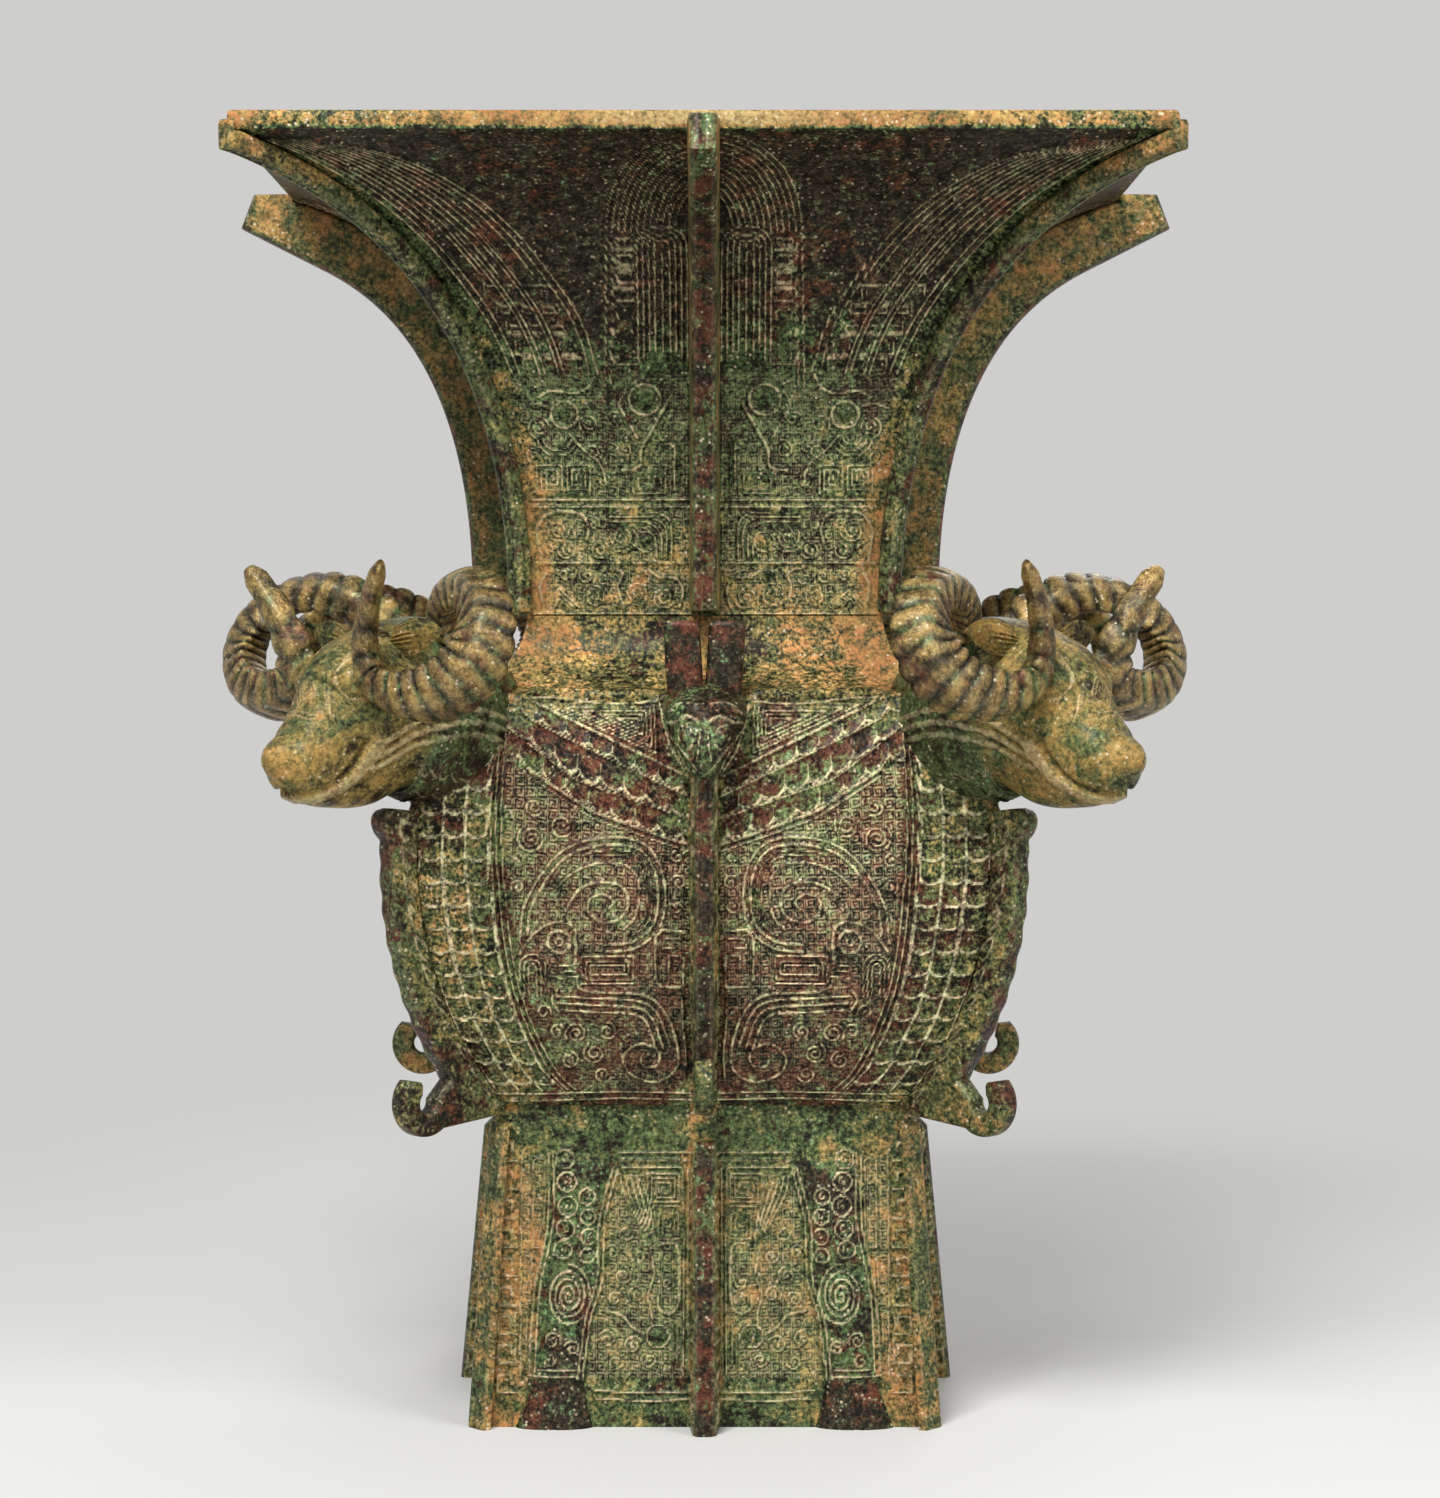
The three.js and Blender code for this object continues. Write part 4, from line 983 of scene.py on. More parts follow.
def patina(name):
    """Old bronze: dark metal under green, red and ochre patches, with worn raised lines."""
    found = bpy.data.materials.get(name)
    if found:
        return found
    has = FINISHES[name]
    grit = has["grit"]
    colours = bpy.context.scene.vessel_colours
    material, make = blank_material(name)
    place = make.node("ShaderNodeTexCoord", {}, "Object")

    def noise(scale, detail=6.0, rough=0.65, warp=0.0):
        inputs = {"Vector": place, "Scale": scale, "Detail": detail, "Roughness": rough, "Distortion": warp}
        return make.node("ShaderNodeTexNoise", inputs)

    def spots(scale, output):
        return make.node("ShaderNodeTexVoronoi", {"Vector": place, "Scale": scale}, output)

    relief = make.mark("relief")
    # The dust mark is earth and dirt. On the neck's upper wall it is also painted shade, kept low there so
    # that the metal stays dark.
    dust = make.mark("dust")
    thunder = thunder_lines(make)
    grits = (1 - dust.between(0.45, 0.8) * 0.7) * grit
    broad = noise(15, 4, 0.6, 0.4) - 0.5
    clouds = noise(62, 7, 0.7, 0.5) - 0.5
    drifts = noise(84, 7, 0.72, 0.4) - 0.5
    mottle = noise(190, 7, 0.74) - 0.5
    grain = noise(560, 4, 0.7) - 0.5
    fine = noise(1600, 2, 0.6) - 0.5
    # Dark metal, then red, green and bright green patches
    colour = (mottle + grain).between(-0.16, 0.2)
    colour = colour.mix(rgba(colours.dark_bronze), rgba(colours.dark_bronze, 3.2))
    reds = drifts * 1.3 + broad * 0.9 + mottle * (0.4 + 0.5 * grit) + grain * (0.7 * grit)
    reds = reds.between(0.16 - 0.4 * has["red"], 0.34 - 0.4 * has["red"])
    colour = (reds * 0.85).mix(colour, rgba(colours.red_bronze))
    greens = clouds * 1.3 + broad * 1.1 + mottle * (0.5 + 0.5 * grit) + grain * (0.8 * grit) + dust * 0.6
    greens = greens.between(0.2 - 0.55 * has["green"], 0.4 - 0.55 * has["green"])
    green = grain.between(-0.15, 0.15).mix(rgba(colours.green_patina, 0.6), rgba(colours.green_patina, 1.5))
    colour = (greens * 0.8).mix(colour, green)
    bright = mottle * 1.5 + grain * 1.6 - drifts * 0.5
    bright = bright.between(0.3 - 0.2 * has["green"], 0.5 - 0.2 * has["green"])
    colour = (bright * 0.7).mix(colour, rgba(colours.malachite))
    if has["gold"]:
        rub = make.mark("rub")
        rubbed = clouds * 1.2 + mottle * (0.4 + 0.5 * grit) + grain * (0.8 * grit) + relief * 0.16
        rubbed = rubbed.between(0.16 - 0.5 * has["gold"], 0.6 - 0.5 * has["gold"]) * rub
        colour = (rubbed * 0.85).mix(colour, rgba(colours.worn_gold))
    # Pale tops of the lines, in green or ochre, and pale rims, partly wear and partly painted highlight. The
    # ground pattern's lines join them, with painted sheen up the belly and painted shade under the neck's
    # rim.
    tops = relief.between(0.35, 0.85) * (0.45 + mottle.between(-0.12, 0.12) * 0.55)
    tops = tops.over(thunder * 0.45)
    line = drifts.between(-0.1, 0.1).mix(rgba(colours.raised_line), rgba(colours.warm_line))
    line = relief.between(1.05, 1.45).mix(line, rgba(colours.pale_mint))
    colour = (tops * has["lines"]).mix(colour, line)
    # Earth, pinkish in places and pale where it is thick
    soil = dust + clouds * 1.2 - drifts * 0.9 + broad * 0.5
    soil = soil + mottle * (0.3 + 0.7 * grit) + grain * (1.1 * grit)
    soil = (soil + 0.4 * (has["earth"] - 0.5)).between(0.26, 0.78) * (1 - tops * 0.5)
    earth = (drifts * 1.2 + mottle * 0.6 + broad * 0.5).between(-0.18, 0.12)
    earth = earth.mix(rgba(colours.ochre_earth), rgba(colours.rose_earth))
    earth = dust.between(0.8, 1.1).mix(earth, rgba(colours.lip_earth))
    earth = (mottle + grain * 1.4).between(-0.34, 0.14).mix(rgba(colours.ochre_earth, 0.6), earth)
    colour = (soil * 0.85).mix(colour, earth)
    pits = 1 - (grain + mottle * 0.4).between(-0.2, -0.06)
    colour = (pits * (0.6 - soil * 0.3) * grits).mix(colour, rgba(colours.dark_bronze, 0.7))
    # Lighter and darker grains, and pale specks that are painted glints
    tone = (clouds * 0.5 + mottle * 1.2 + grain * 1.6).between(-0.32, 0.32)
    tone = (tone * 1.8 - 0.8) * grits + 1
    colour = make.node(
        "ShaderNodeMix", {0: 1.0, 6: colour, 7: tone}, 2, data_type="RGBA", blend_type="MULTIPLY"
    )
    # Painted glints: small pale specks in clusters.
    glint_scale = 400.0
    glinting = spots(glint_scale, "Color").between(0.62 - 0.12 * has["glints"], 0.66)
    glint_spot = (1 - spots(glint_scale, "Distance").between(0.18, 0.34)) * glinting * clouds.between(-0.1, 0.12)
    colour = (glint_spot * 0.85).mix(colour, rgba(colours.pale_glint))
    rough = 0.46 - 0.18 * has["gloss"] + soil * 0.24 + mottle * 0.5 + fine * 0.3 - tops * 0.08
    metal = (1 - soil) * (0.35 + 0.3 * has["gloss"]) * (1 - greens * 0.4)
    rise = 0.7 * grain + 0.35 * fine + 0.8 * mottle + 0.5 * thunder + 0.12 * soil
    bump = make.node("ShaderNodeBump", {"Strength": 0.7, "Distance": 0.001, "Height": rise})
    wax = (1 - soil) * (0.04 + 0.16 * has["gloss"])
    inputs = {"Base Color": colour, "Roughness": rough, "Metallic": metal, "Normal": bump}
    inputs |= {"Coat Weight": wax, "Coat Roughness": 0.24, "Specular IOR Level": 0.16}
    shader = make.node("ShaderNodeBsdfPrincipled", inputs)
    make.node("ShaderNodeOutputMaterial", {"Surface": shader}, None)
    return material


# Walls


class VESSEL_OT_neck(bpy.types.Operator):
    """Four flaring walls of the neck with their raised leaves and dragons."""

    bl_idname = "vessel.neck"
    bl_label = "Neck walls"

    def execute(self, context):
        relief = context.scene.vessel_shape.neck_relief / MM
        fine_to = 115
        low = np.linspace(0, fine_to, 116, endpoint=False)
        up = np.concatenate((low, np.linspace(fine_to, NECK_LENGTH, 92)))
        curve = placed(NECK_CURVE, up)
        lip = np.array(LIP_PROFILE) + (RIM_HALF, HEIGHT)
        outer = np.vstack((curve, lip))
        normals = np.vstack((outward(curve), np.repeat([(1.0, 0.0)], len(lip), 0)))
        up = np.concatenate((up, np.full(len(lip), NECK_LENGTH)))
        half = outer[:, :1]
        level = outer[:, 1:]
        share = spread((0, 0.3, 45), (0.3, 0.6, 29), (0.6, 1, 67))
        across = share[None, :] * half
        aside = np.abs(across)
        heights = np.repeat(up[:, None], len(share), 1)
        height, mark, ground = draw_neck().at(aside, heights)[:3]
        edge = ramp(half - aside, 0, EDGE_FADE)
        back = curve - WALL * outward(curve)
        back = back[back[:, 0] < RIM_HALF - LIP_WIDTH - LIP_GAP]
        back[0] = (NECK_HALF - WALL, NECK_LEVEL)
        back = spaced(np.vstack((back, [(RIM_HALF - LIP_WIDTH, HEIGHT)])), len(outer))
        lips = ramp(level, RIM_LEVEL - 1, RIM_LEVEL + 1)
        strip = ramp(aside - half, -15, -9)
        pale = 0.42 + 0.62 * (1 - np.abs(share)[None, :])
        # Dust: earth low on the neck, beside the flanges and as a pale crust on the lip. The upper wall under
        # the rim's flare gets almost none, which is painted shade that keeps it dark.
        dust = 0.02 + 0.46 * ramp(level, 510, 382) + 0.3 * strip + pale * lips
        dust = dust - 0.42 * ramp(level, 500, 530) * (1 - lips) * (1 - strip)
        wall(
            "neck_wall",
            "neck_bronze",
            "vessel_neck",
            raised_wall(half, across, level, relief * height * edge, normals),
            plain_wall(back[:, 0], back[:, 1]),
            # Line tops dim near the rim: painted shade.
            relief=mark * (1 - 0.12 * ramp(level, 480, 540)) * edge,
            dust=dust,
            # The ground pattern dims up the neck: painted shade under the rim's flare.
            ground=ground * (0.4 + 0.6 * ramp(level, 480, 420)),
            across=aside,
            up=heights,
        )
        return {"FINISHED"}


class VESSEL_OT_belly(bpy.types.Operator):
    """Four walls of the belly and shoulder with scales and birds."""

    bl_idname = "vessel.belly"
    bl_label = "Belly walls"

    def execute(self, context):
        shape = context.scene.vessel_shape
        relief = shape.belly_relief / MM
        shoulder_rows = 28
        back_columns = 9
        low = spaced(BELLY_CURVE, 228)
        high = spaced(SHOULDER_CURVE, shoulder_rows)
        outer = np.vstack((low, high[1:]))
        level = outer[:, 1:]
        normals = outward(outer)
        over = SHOULDER_LEVEL + np.linspace(0, SHOULDER_LENGTH, shoulder_rows)[1:]
        up = np.concatenate((low[:, 1], over))
        share = spread((0, 0.72, 104), (0.72, 1, 36))
        out, across = self.swelled(outer, share)
        aside = np.abs(across)
        heights = np.repeat(up[:, None], len(share), 1)
        height, mark, ground, form = draw_belly(shape.scale_length / MM).at(aside, heights)
        rows = np.arange(len(outer))
        edge = ramp(across[:, -1:] - aside, 0, EDGE_FADE)
        edge = edge * ramp(np.minimum(rows, rows[::-1]), 0, 3)[:, None]
        back = outer - WALL * normals
        back[0] = (BELLY_FOOT_HALF - WALL, BELLY_LEVEL)
        back[-1] = (NECK_HALF - WALL, NECK_LEVEL)
        back_out, back_across = self.swelled(back, np.linspace(-1, 1, back_columns))
        strip = ramp(aside, *FLANGE_DUST)
        chest = ramp(np.abs(share)[None, :], 0.7, 0.78)
        wall(
            "belly_wall",
            "belly_bronze",
            "vessel_belly",
            raised_wall(out, across, level, (relief * height + form) * edge, normals),
            np.stack((back_out, back_across, np.repeat(back[:, 1:], back_columns, 1)), -1),
            relief=mark * edge,
            dust=0.12 + 0.36 * ramp(level, 318, SHOULDER_LEVEL) + 0.25 * strip + 0.25 * chest,
            # The ground pattern's pale lines grow stronger up the belly: a painted sheen on its upper part.
            ground=ground * (0.45 + 0.75 * ramp(level, 190, 260)),
            across=aside,
            up=heights,
        )
        return {"FINISHED"}

    def swelled(self, line, share):
        """How far out and how far across the wall is at each share of its width."""
        swell = swell_at(line[:, 1:])
        reach = np.abs(share)[None, :]
        out = line[:, :1] + CHEST_SWELL * swell * reach + FLANK_SWELL * swell * np.sin(math.pi * reach)
        return out, share[None, :] * (line[:, :1] + CHEST_SWELL * swell)


class VESSEL_OT_belly_floor(bpy.types.Operator):
    """The floor between the belly and the hollow foot."""

    bl_idname = "vessel.belly_floor"
    bl_label = "Belly floor"

    def execute(self, context):
        width = 2 * (BELLY_FOOT_HALF - WALL + FLOOR_SEAT) * MM
        bpy.ops.object.select_all(action="DESELECT")
        level = BELLY_LEVEL + (SEAM + FLOOR_THICKNESS) / 2
        bpy.ops.mesh.primitive_cube_add(size=1, location=(0, 0, level * MM))
        plate = context.object
        plate.name = "belly_floor"
        plate.scale = (width, width, (FLOOR_THICKNESS - SEAM) * MM)
        bpy.ops.object.transform_apply(location=True, rotation=False, scale=True)
        bpy.ops.object.mode_set(mode="EDIT")
        bpy.ops.mesh.select_all(action="SELECT")
        bpy.ops.mesh.bevel(offset=1.2 * MM, segments=3)
        bpy.ops.object.mode_set(mode="OBJECT")
        bpy.ops.object.shade_smooth_by_angle(angle=math.radians(40))
        settle(plate, "foot_bronze", "vessel_belly")
        return {"FINISHED"}


class VESSEL_OT_foot(bpy.types.Operator):
    """Four walls of the foot with the rams' legs on them."""

    bl_idname = "vessel.foot"
    bl_label = "Foot walls"

    def execute(self, context):
        relief = context.scene.vessel_shape.foot_relief / MM
        level = np.linspace(0, BELLY_LEVEL, 150)[:, None]
        half = foot_half_at(level)
        share = np.linspace(-1, 1, 216)
        across = share[None, :] * half
        aside = np.abs(across)
        heights = np.repeat(level, len(share), 1)
        height, mark, ground, form = draw_foot().at(aside, heights)
        edge = ramp(half - aside, 0, EDGE_FADE)
        strip = ramp(aside, *FLANGE_DUST)
        dust = 0.28 - 0.1 * ramp(level, 122, 130) + 0.26 * np.abs(share)[None, :] + 0.25 * strip
        dust = dust - 0.4 * ramp(form, 0.5, 1.5) - 0.4 * (form > 1) * ramp(level, 22, 18)
        wall(
            "foot_wall",
            "foot_bronze",
            "vessel_foot",
            np.stack((half + (relief * height + form) * edge, across, heights), -1),
            plain_wall(half - FOOT_WALL, level),
            relief=mark * edge,
            dust=dust,
            ground=ground,
            across=aside,
            up=heights,
        )
        return {"FINISHED"}


# Flanges


def flange_rings(inner, outer, flange, marks=None, relief=0.0, groove=0.0, upright=None):
    """Rings of a flange between its edge on the wall and its free edge, with rounded corners.

    Upright is 1 where the flange stands on the wall and thickens towards it, and 0 in its hook."""
    along = lengths((inner + outer) / 2)[:, None]
    across = outer - inner
    width = np.linalg.norm(across, axis=1)[:, None]
    across = across / width
    soft = np.minimum(0.3 * flange["thickness"], 0.3 * width)
    splay = flange["splay"] * (np.ones_like(width) if upright is None else upright[:, None])
    side = np.linspace(0, 1, 11)[None, :]
    round_off = np.radians(np.linspace(0, 90, 5)[1:-1])[None, :]
    flat = np.linspace(-1, 1, 7)[None, :]
    one = np.ones_like(width)
    rise = soft + (width - 2 * soft) * side
    raised = np.zeros_like(rise)
    if marks is not None:
        raised = marks.at(along * np.ones_like(rise), rise)[0]
    corner_out = width - soft + soft * np.sin(round_off)
    corner_in = soft - soft * np.sin(round_off)
    front = width - groove * np.clip(1 - np.abs(flat) * 1.6, 0, 1)

    def half(deep):
        return flange["thickness"] / 2 * (1 + splay * (1 - deep / width))

    def corner(deep):
        return half(deep) - soft * (1 - np.cos(round_off))

    # The rounded corners of the free edge get pale tops, partly wear and partly painted highlight
    parts = [
        (rise, -half(rise) - relief * raised, raised),
        (corner_out, -corner(corner_out), 0.5 * np.ones_like(corner_out)),
        (front, flat * (half(front) - soft), np.full(front.shape, 0.2)),
        (corner_out[:, ::-1], corner(corner_out)[:, ::-1], 0.5 * np.ones_like(corner_out)),
        (rise[:, ::-1], half(rise)[:, ::-1] + relief * raised[:, ::-1], raised[:, ::-1]),
        (corner_in, corner(corner_in), np.zeros_like(corner_in)),
        (0 * front, -flat * (half(0 * front) - soft), np.zeros_like(front)),
        (corner_in[:, ::-1], -corner(corner_in)[:, ::-1], np.zeros_like(corner_in)),
    ]
    deep, wide, mark = (np.concatenate([part[i] * one for part in parts], 1) for i in range(3))
    place = inner[:, None, :] + across[:, None, :] * deep[..., None]
    rings = np.stack((place[..., 0], wide, place[..., 1]), -1)
    return rings, mark, deep / width


def offset(points, rise):
    """A wall's line moved off the wall."""
    return points + np.asarray(rise, float).reshape(-1, 1) * outward(points)


def bracket_marks(kind, width):
    """Raised brackets, one after the other, along a flange's side."""
    length, pitch = BRACKETS[kind]
    panel = Relief(0, 0, length, width)
    for place in np.arange(6, length - pitch * 0.7, pitch):
        high = width - 3.6
        end = place + pitch * 0.55
        hook = [(place, 3), (place, high), (end, high), (end, width * 0.5)]
        panel.line(smooth(hook, 4), wide=2.6, tall=1.0)
    return panel


def hooked_edges(wall_at, flange, end):
    """Both edges of a flange that runs down the belly and curls up in a hook."""
    lowest = end["level"] - end["outer"] + 6
    levels = np.linspace(flange["top"], lowest, 90)
    wall_line = np.column_stack((wall_at(levels), levels))
    along = directions(wall_line)
    off = np.column_stack((-along[:, 1], along[:, 0]))
    seat = wall_line - FLANGE_SEAT * off
    wave = 0.5 * np.sin(2 * math.pi * lengths(wall_line) / 13)
    knob_half = 6
    from_knob = (levels - flange["top"]) / knob_half + 1
    knob = flange["knob"] * np.sqrt(np.clip(1 - from_knob**2, 0, 1))
    free = wall_line + (flange["rise"] + wave + knob)[:, None] * off
    free = free[free[:, 1] > end["level"] + 8]
    middle = np.array((float(wall_at(end["level"])) + end["reach"], end["level"]))

    def arc(radius, first, last):
        angle = np.radians(np.linspace(first, last, 40))[:, None]
        return middle + radius * np.hstack((np.cos(angle), np.sin(angle)))

    lean = math.radians(HOOK_ARCS["tip"])
    tip = np.array((math.cos(lean), math.sin(lean)))
    blunt = 1.2 * tip
    close_to = middle + tip * (end["inner"] + end["outer"]) / 2
    straight_rows = 66
    hook_rows = 57
    wall_hook = spaced(np.vstack((seat[-1], arc(end["outer"], *HOOK_ARCS["outer"]))), hook_rows)
    free_hook = spaced(np.vstack((free[-1], arc(end["inner"], *HOOK_ARCS["inner"]))), hook_rows)
    wall_side = np.vstack((spaced(seat, straight_rows), wall_hook[1:]))
    free_side = np.vstack((spaced(free, straight_rows), free_hook[1:]))
    close = np.linspace(0, 1, 5)[1:, None] ** 2
    wall_tip = wall_side[-1] + (close_to + blunt - wall_side[-1]) * close
    free_tip = free_side[-1] + (close_to - blunt - free_side[-1]) * close
    inner = np.vstack((wall_side, wall_tip))
    upright = ramp(np.arange(len(inner)), straight_rows - 4, straight_rows - 18)
    return inner, np.vstack((free_side, free_tip)), upright


def flange_set(kind, places, rings, finish, mark, dust):
    """The same flange on each face or corner."""
    for place, degrees in places.items():
        name = f"{kind}_cast_{place}"
        skin(name, turned(rings, degrees), finish, f"{kind}_{place}", angle=45, relief=mark, dust=dust)


def front_only(deep):
    """1 on the free edge of a flange and 0 on its sides."""
    return ramp(deep, 0.9, 0.98)


class VESSEL_OT_neck_flanges(bpy.types.Operator):
    """Tall flanges on the neck's faces and low ones on its corners."""

    bl_idname = "vessel.neck_flanges"
    bl_label = "Neck flanges"

    def execute(self, context):
        rows = 118
        foot = NECK_LEVEL + FLANGE_LIFT
        curve = spaced(NECK_CURVE, 140)
        self.on_faces(curve, foot, rows)
        self.on_corners(curve, foot, rows)
        return {"FINISHED"}

    def seat(self, line, foot, rows):
        """The edge that lies along the wall, from the foot of the neck to just under its rim."""
        first = (line[0, 0] + SEAM, foot)
        last = (line[-1, 0] + SEAM, RIM_LEVEL - RIM_GAP)
        return spaced(np.vstack((first, offset(line, SEAM)[3:-1], last)), rows)

    def on_faces(self, curve, foot, rows):
        flange = NECK_FLANGE
        top = HEIGHT - flange["drop"]
        end = RIM_HALF + flange["reach"]
        free = offset(curve, np.linspace(flange["rise"], flange["rise_at_rim"], len(curve)))
        free = free[(free[:, 0] < RIM_HALF - flange["inset"]) & (free[:, 1] > foot + FLANGE_LIFT)]
        outer = np.vstack(((NECK_HALF + flange["rise"], foot), free, (end, top - flange["end"])))
        outer = np.vstack((spaced(outer, rows), (end - flange["slope"], top)))
        inner = np.vstack((self.seat(curve, foot, rows), (RIM_HALF + SEAM, top)))
        rings, mark, deep = flange_rings(inner, outer, flange, groove=0.8)
        dust = 0.53 - 0.68 * front_only(deep)
        flange_set("neck_face_flange", FACES, rings, "flange_bronze", mark, dust)

    def on_corners(self, curve, foot, rows):
        flange = CORNER_FLANGE
        edge = curve * (SQUARE, 1)
        tip = RIM_HALF * SQUARE
        end = tip + flange["reach"]
        top = HEIGHT - flange["drop"]
        free = offset(edge, flange["rise"])[2:-2]
        first = (NECK_HALF * SQUARE + flange["rise"], foot)
        outer = spaced(np.vstack((first, free, (end, RIM_LEVEL - flange["rise"]))), rows)
        outer = np.vstack((outer, (end, top - 2), (end - 1, top)))
        inner = self.seat(edge, foot, rows)
        inner = np.vstack((inner, (tip + SEAM, top - 1.5), (tip + SEAM, top)))
        rings, mark, deep = flange_rings(inner, outer, flange, groove=1.0)
        dust = 0.36 + 0.25 * ramp(rings[..., 2], 555, 567) - 0.1 * front_only(deep)
        flange_set("neck_corner_flange", CORNERS, rings, "corner_bronze", mark, dust)


class VESSEL_OT_belly_flanges(bpy.types.Operator):
    """Hooked flanges down the belly's faces and down the rams' chests."""

    bl_idname = "vessel.belly_flanges"
    bl_label = "Belly flanges"

    def execute(self, context):
        relief = context.scene.vessel_shape.mark_relief / MM
        inner, outer, upright = hooked_edges(half_at, BELLY_FLANGE, BELLY_HOOK)
        marks = bracket_marks("belly", BELLY_FLANGE["rise"] + 2)
        rings, mark, deep = flange_rings(inner, outer, BELLY_FLANGE, marks, relief, 0.0, upright)
        dust = 0.46 - 0.6 * front_only(deep)
        flange_set("belly_face_flange", FACES, rings, "flange_bronze", mark, dust)
        inner, outer, upright = hooked_edges(chest_at, CHEST_FLANGE, CHEST_HOOK)
        marks = bracket_marks("chest", CHEST_FLANGE["rise"] + 2)
        rings, mark, deep = flange_rings(inner, outer, CHEST_FLANGE, marks, relief, 0.0, upright)
        dust = 0.4 - 0.2 * front_only(deep)
        flange_set("chest_flange", CORNERS, rings, "chest_bronze", mark, dust)
        return {"FINISHED"}


class VESSEL_OT_foot_flanges(bpy.types.Operator):
    """Plain flanges on the faces and corners of the foot."""

    bl_idname = "vessel.foot_flanges"
    bl_label = "Foot flanges"

    def execute(self, context):
        relief = context.scene.vessel_shape.mark_relief / MM
        marks = bracket_marks("foot", FOOT_FLANGE["rise"])
        rings, mark, deep = self.standing(FOOT_FLANGE, 1, marks, relief)
        flange_set("foot_face_flange", FACES, rings, "flange_bronze", mark, 0.46 - 0.6 * front_only(deep))
        rings, mark, deep = self.standing(FOOT_CORNER, SQUARE, None, relief)
        flange_set("foot_corner_flange", CORNERS, rings, "foot_bronze", mark, 0.5 - 0.1 * front_only(deep))
        return {"FINISHED"}

    def standing(self, flange, scale, marks, relief):
        """Rings of a flange that stands on the floor. Scale turns a half width into a distance."""
        top = BELLY_LEVEL - flange["drop"]
        rise = flange["rise"]
        base = FOOT_HALF * scale + SEAM
        seat = float(foot_half_at(top)) * scale + SEAM
        straight = spaced([(base + rise, 0), (seat + 0.8 * rise, top - 0.4 * rise)], 62)
        slope = spaced([(seat + 0.8 * rise, top - 0.4 * rise), (seat + 0.4 * rise, top)], 8)
        outer = np.vstack((straight, slope[1:]))
        inner = spaced([(base, 0), (seat, top)], len(outer))
        return flange_rings(inner, outer, flange, marks, relief)


# Rams and dragons


def spine_rows(rings, base, level, per=14):
    """Middle, up direction, half width, half height and forward place along a head, from back to nose."""
    rows = smooth(rings, per)
    middle = rows[:, :2] + (base, level)
    along = directions(middle)
    up = np.column_stack((-along[:, 1], along[:, 0]))
    return middle, up, rows[:, 2:3], rows[:, 3:4], rows[:, 0]


def head_rings(middle, up, wide, tall, raised, angle):
    """Rings of a head from its spine and the height of its ornament."""
    place = middle[:, None, :] + up[:, None, :] * ((tall + raised) * np.cos(angle))[..., None]
    return np.stack((place[..., 0], (wide + raised) * np.sin(angle), place[..., 1]), -1)


def draw_ram():
    """Half of a ram's head and neck: X runs round it from the top, Y runs forward."""
    panel = Relief(*RAM_PANEL)
    x, y = panel.grid()
    # Scales under the neck
    scale = 10.5
    inside = (x > 52) & (y < 30 - 0.6 * (x - 52))
    panel.scales(inside, y / scale, -x / scale, 0.3)
    # Lines from the jaw back along the neck
    for gap in (0, 3.6, 7.2):
        jaw = [(43 + gap, 45), (43.5 + gap, 30), (42 + gap, 8), (38 + gap, -20), (35 + gap, -60)]
        panel.line(smooth(jaw), 2.2, 1.5)
    # Brow, eye and the lozenge on the forehead
    panel.line(smooth([(11, 25), (13, 34), (18, 40), (25, 41)]), 1.8, 0.9)
    panel.boss(20, 33, 6.0, 3.6)
    panel.line(ring(20, 33, 7.4), 1.6, 1.0, 0.2)
    for reach in (9.5, 6.2, 3.0):
        panel.line([(0, 51 + reach), (0.9 * reach, 51), (0, 51 - reach)], 1.5, 1.0, 0.4)
    panel.lines([[(0, fy), (12, fy - 1), (17, fy - 5)] for fy in (62.6, 65.4)], wide=1.4)
    panel.lines([smooth([(12 + d, 47), (18 + d, 52), (24 + d, 53)]) for d in (0, 3)], wide=1.4)
    # Mouth with a thick lower lip
    mouth = smooth([(84, 74), (72, 71), (62, 66), (54, 59), (46, 51), (40, 43)])
    panel.line(beside(mouth, -3.8), 5.0, 1.4, 0.2)
    slit = Relief(*RAM_PANEL)
    slit.line(mouth, 2.2, 2.6)
    panel.height = panel.height - slit.height
    panel.mark = np.clip(panel.mark - slit.mark, 0, 1)
    return panel


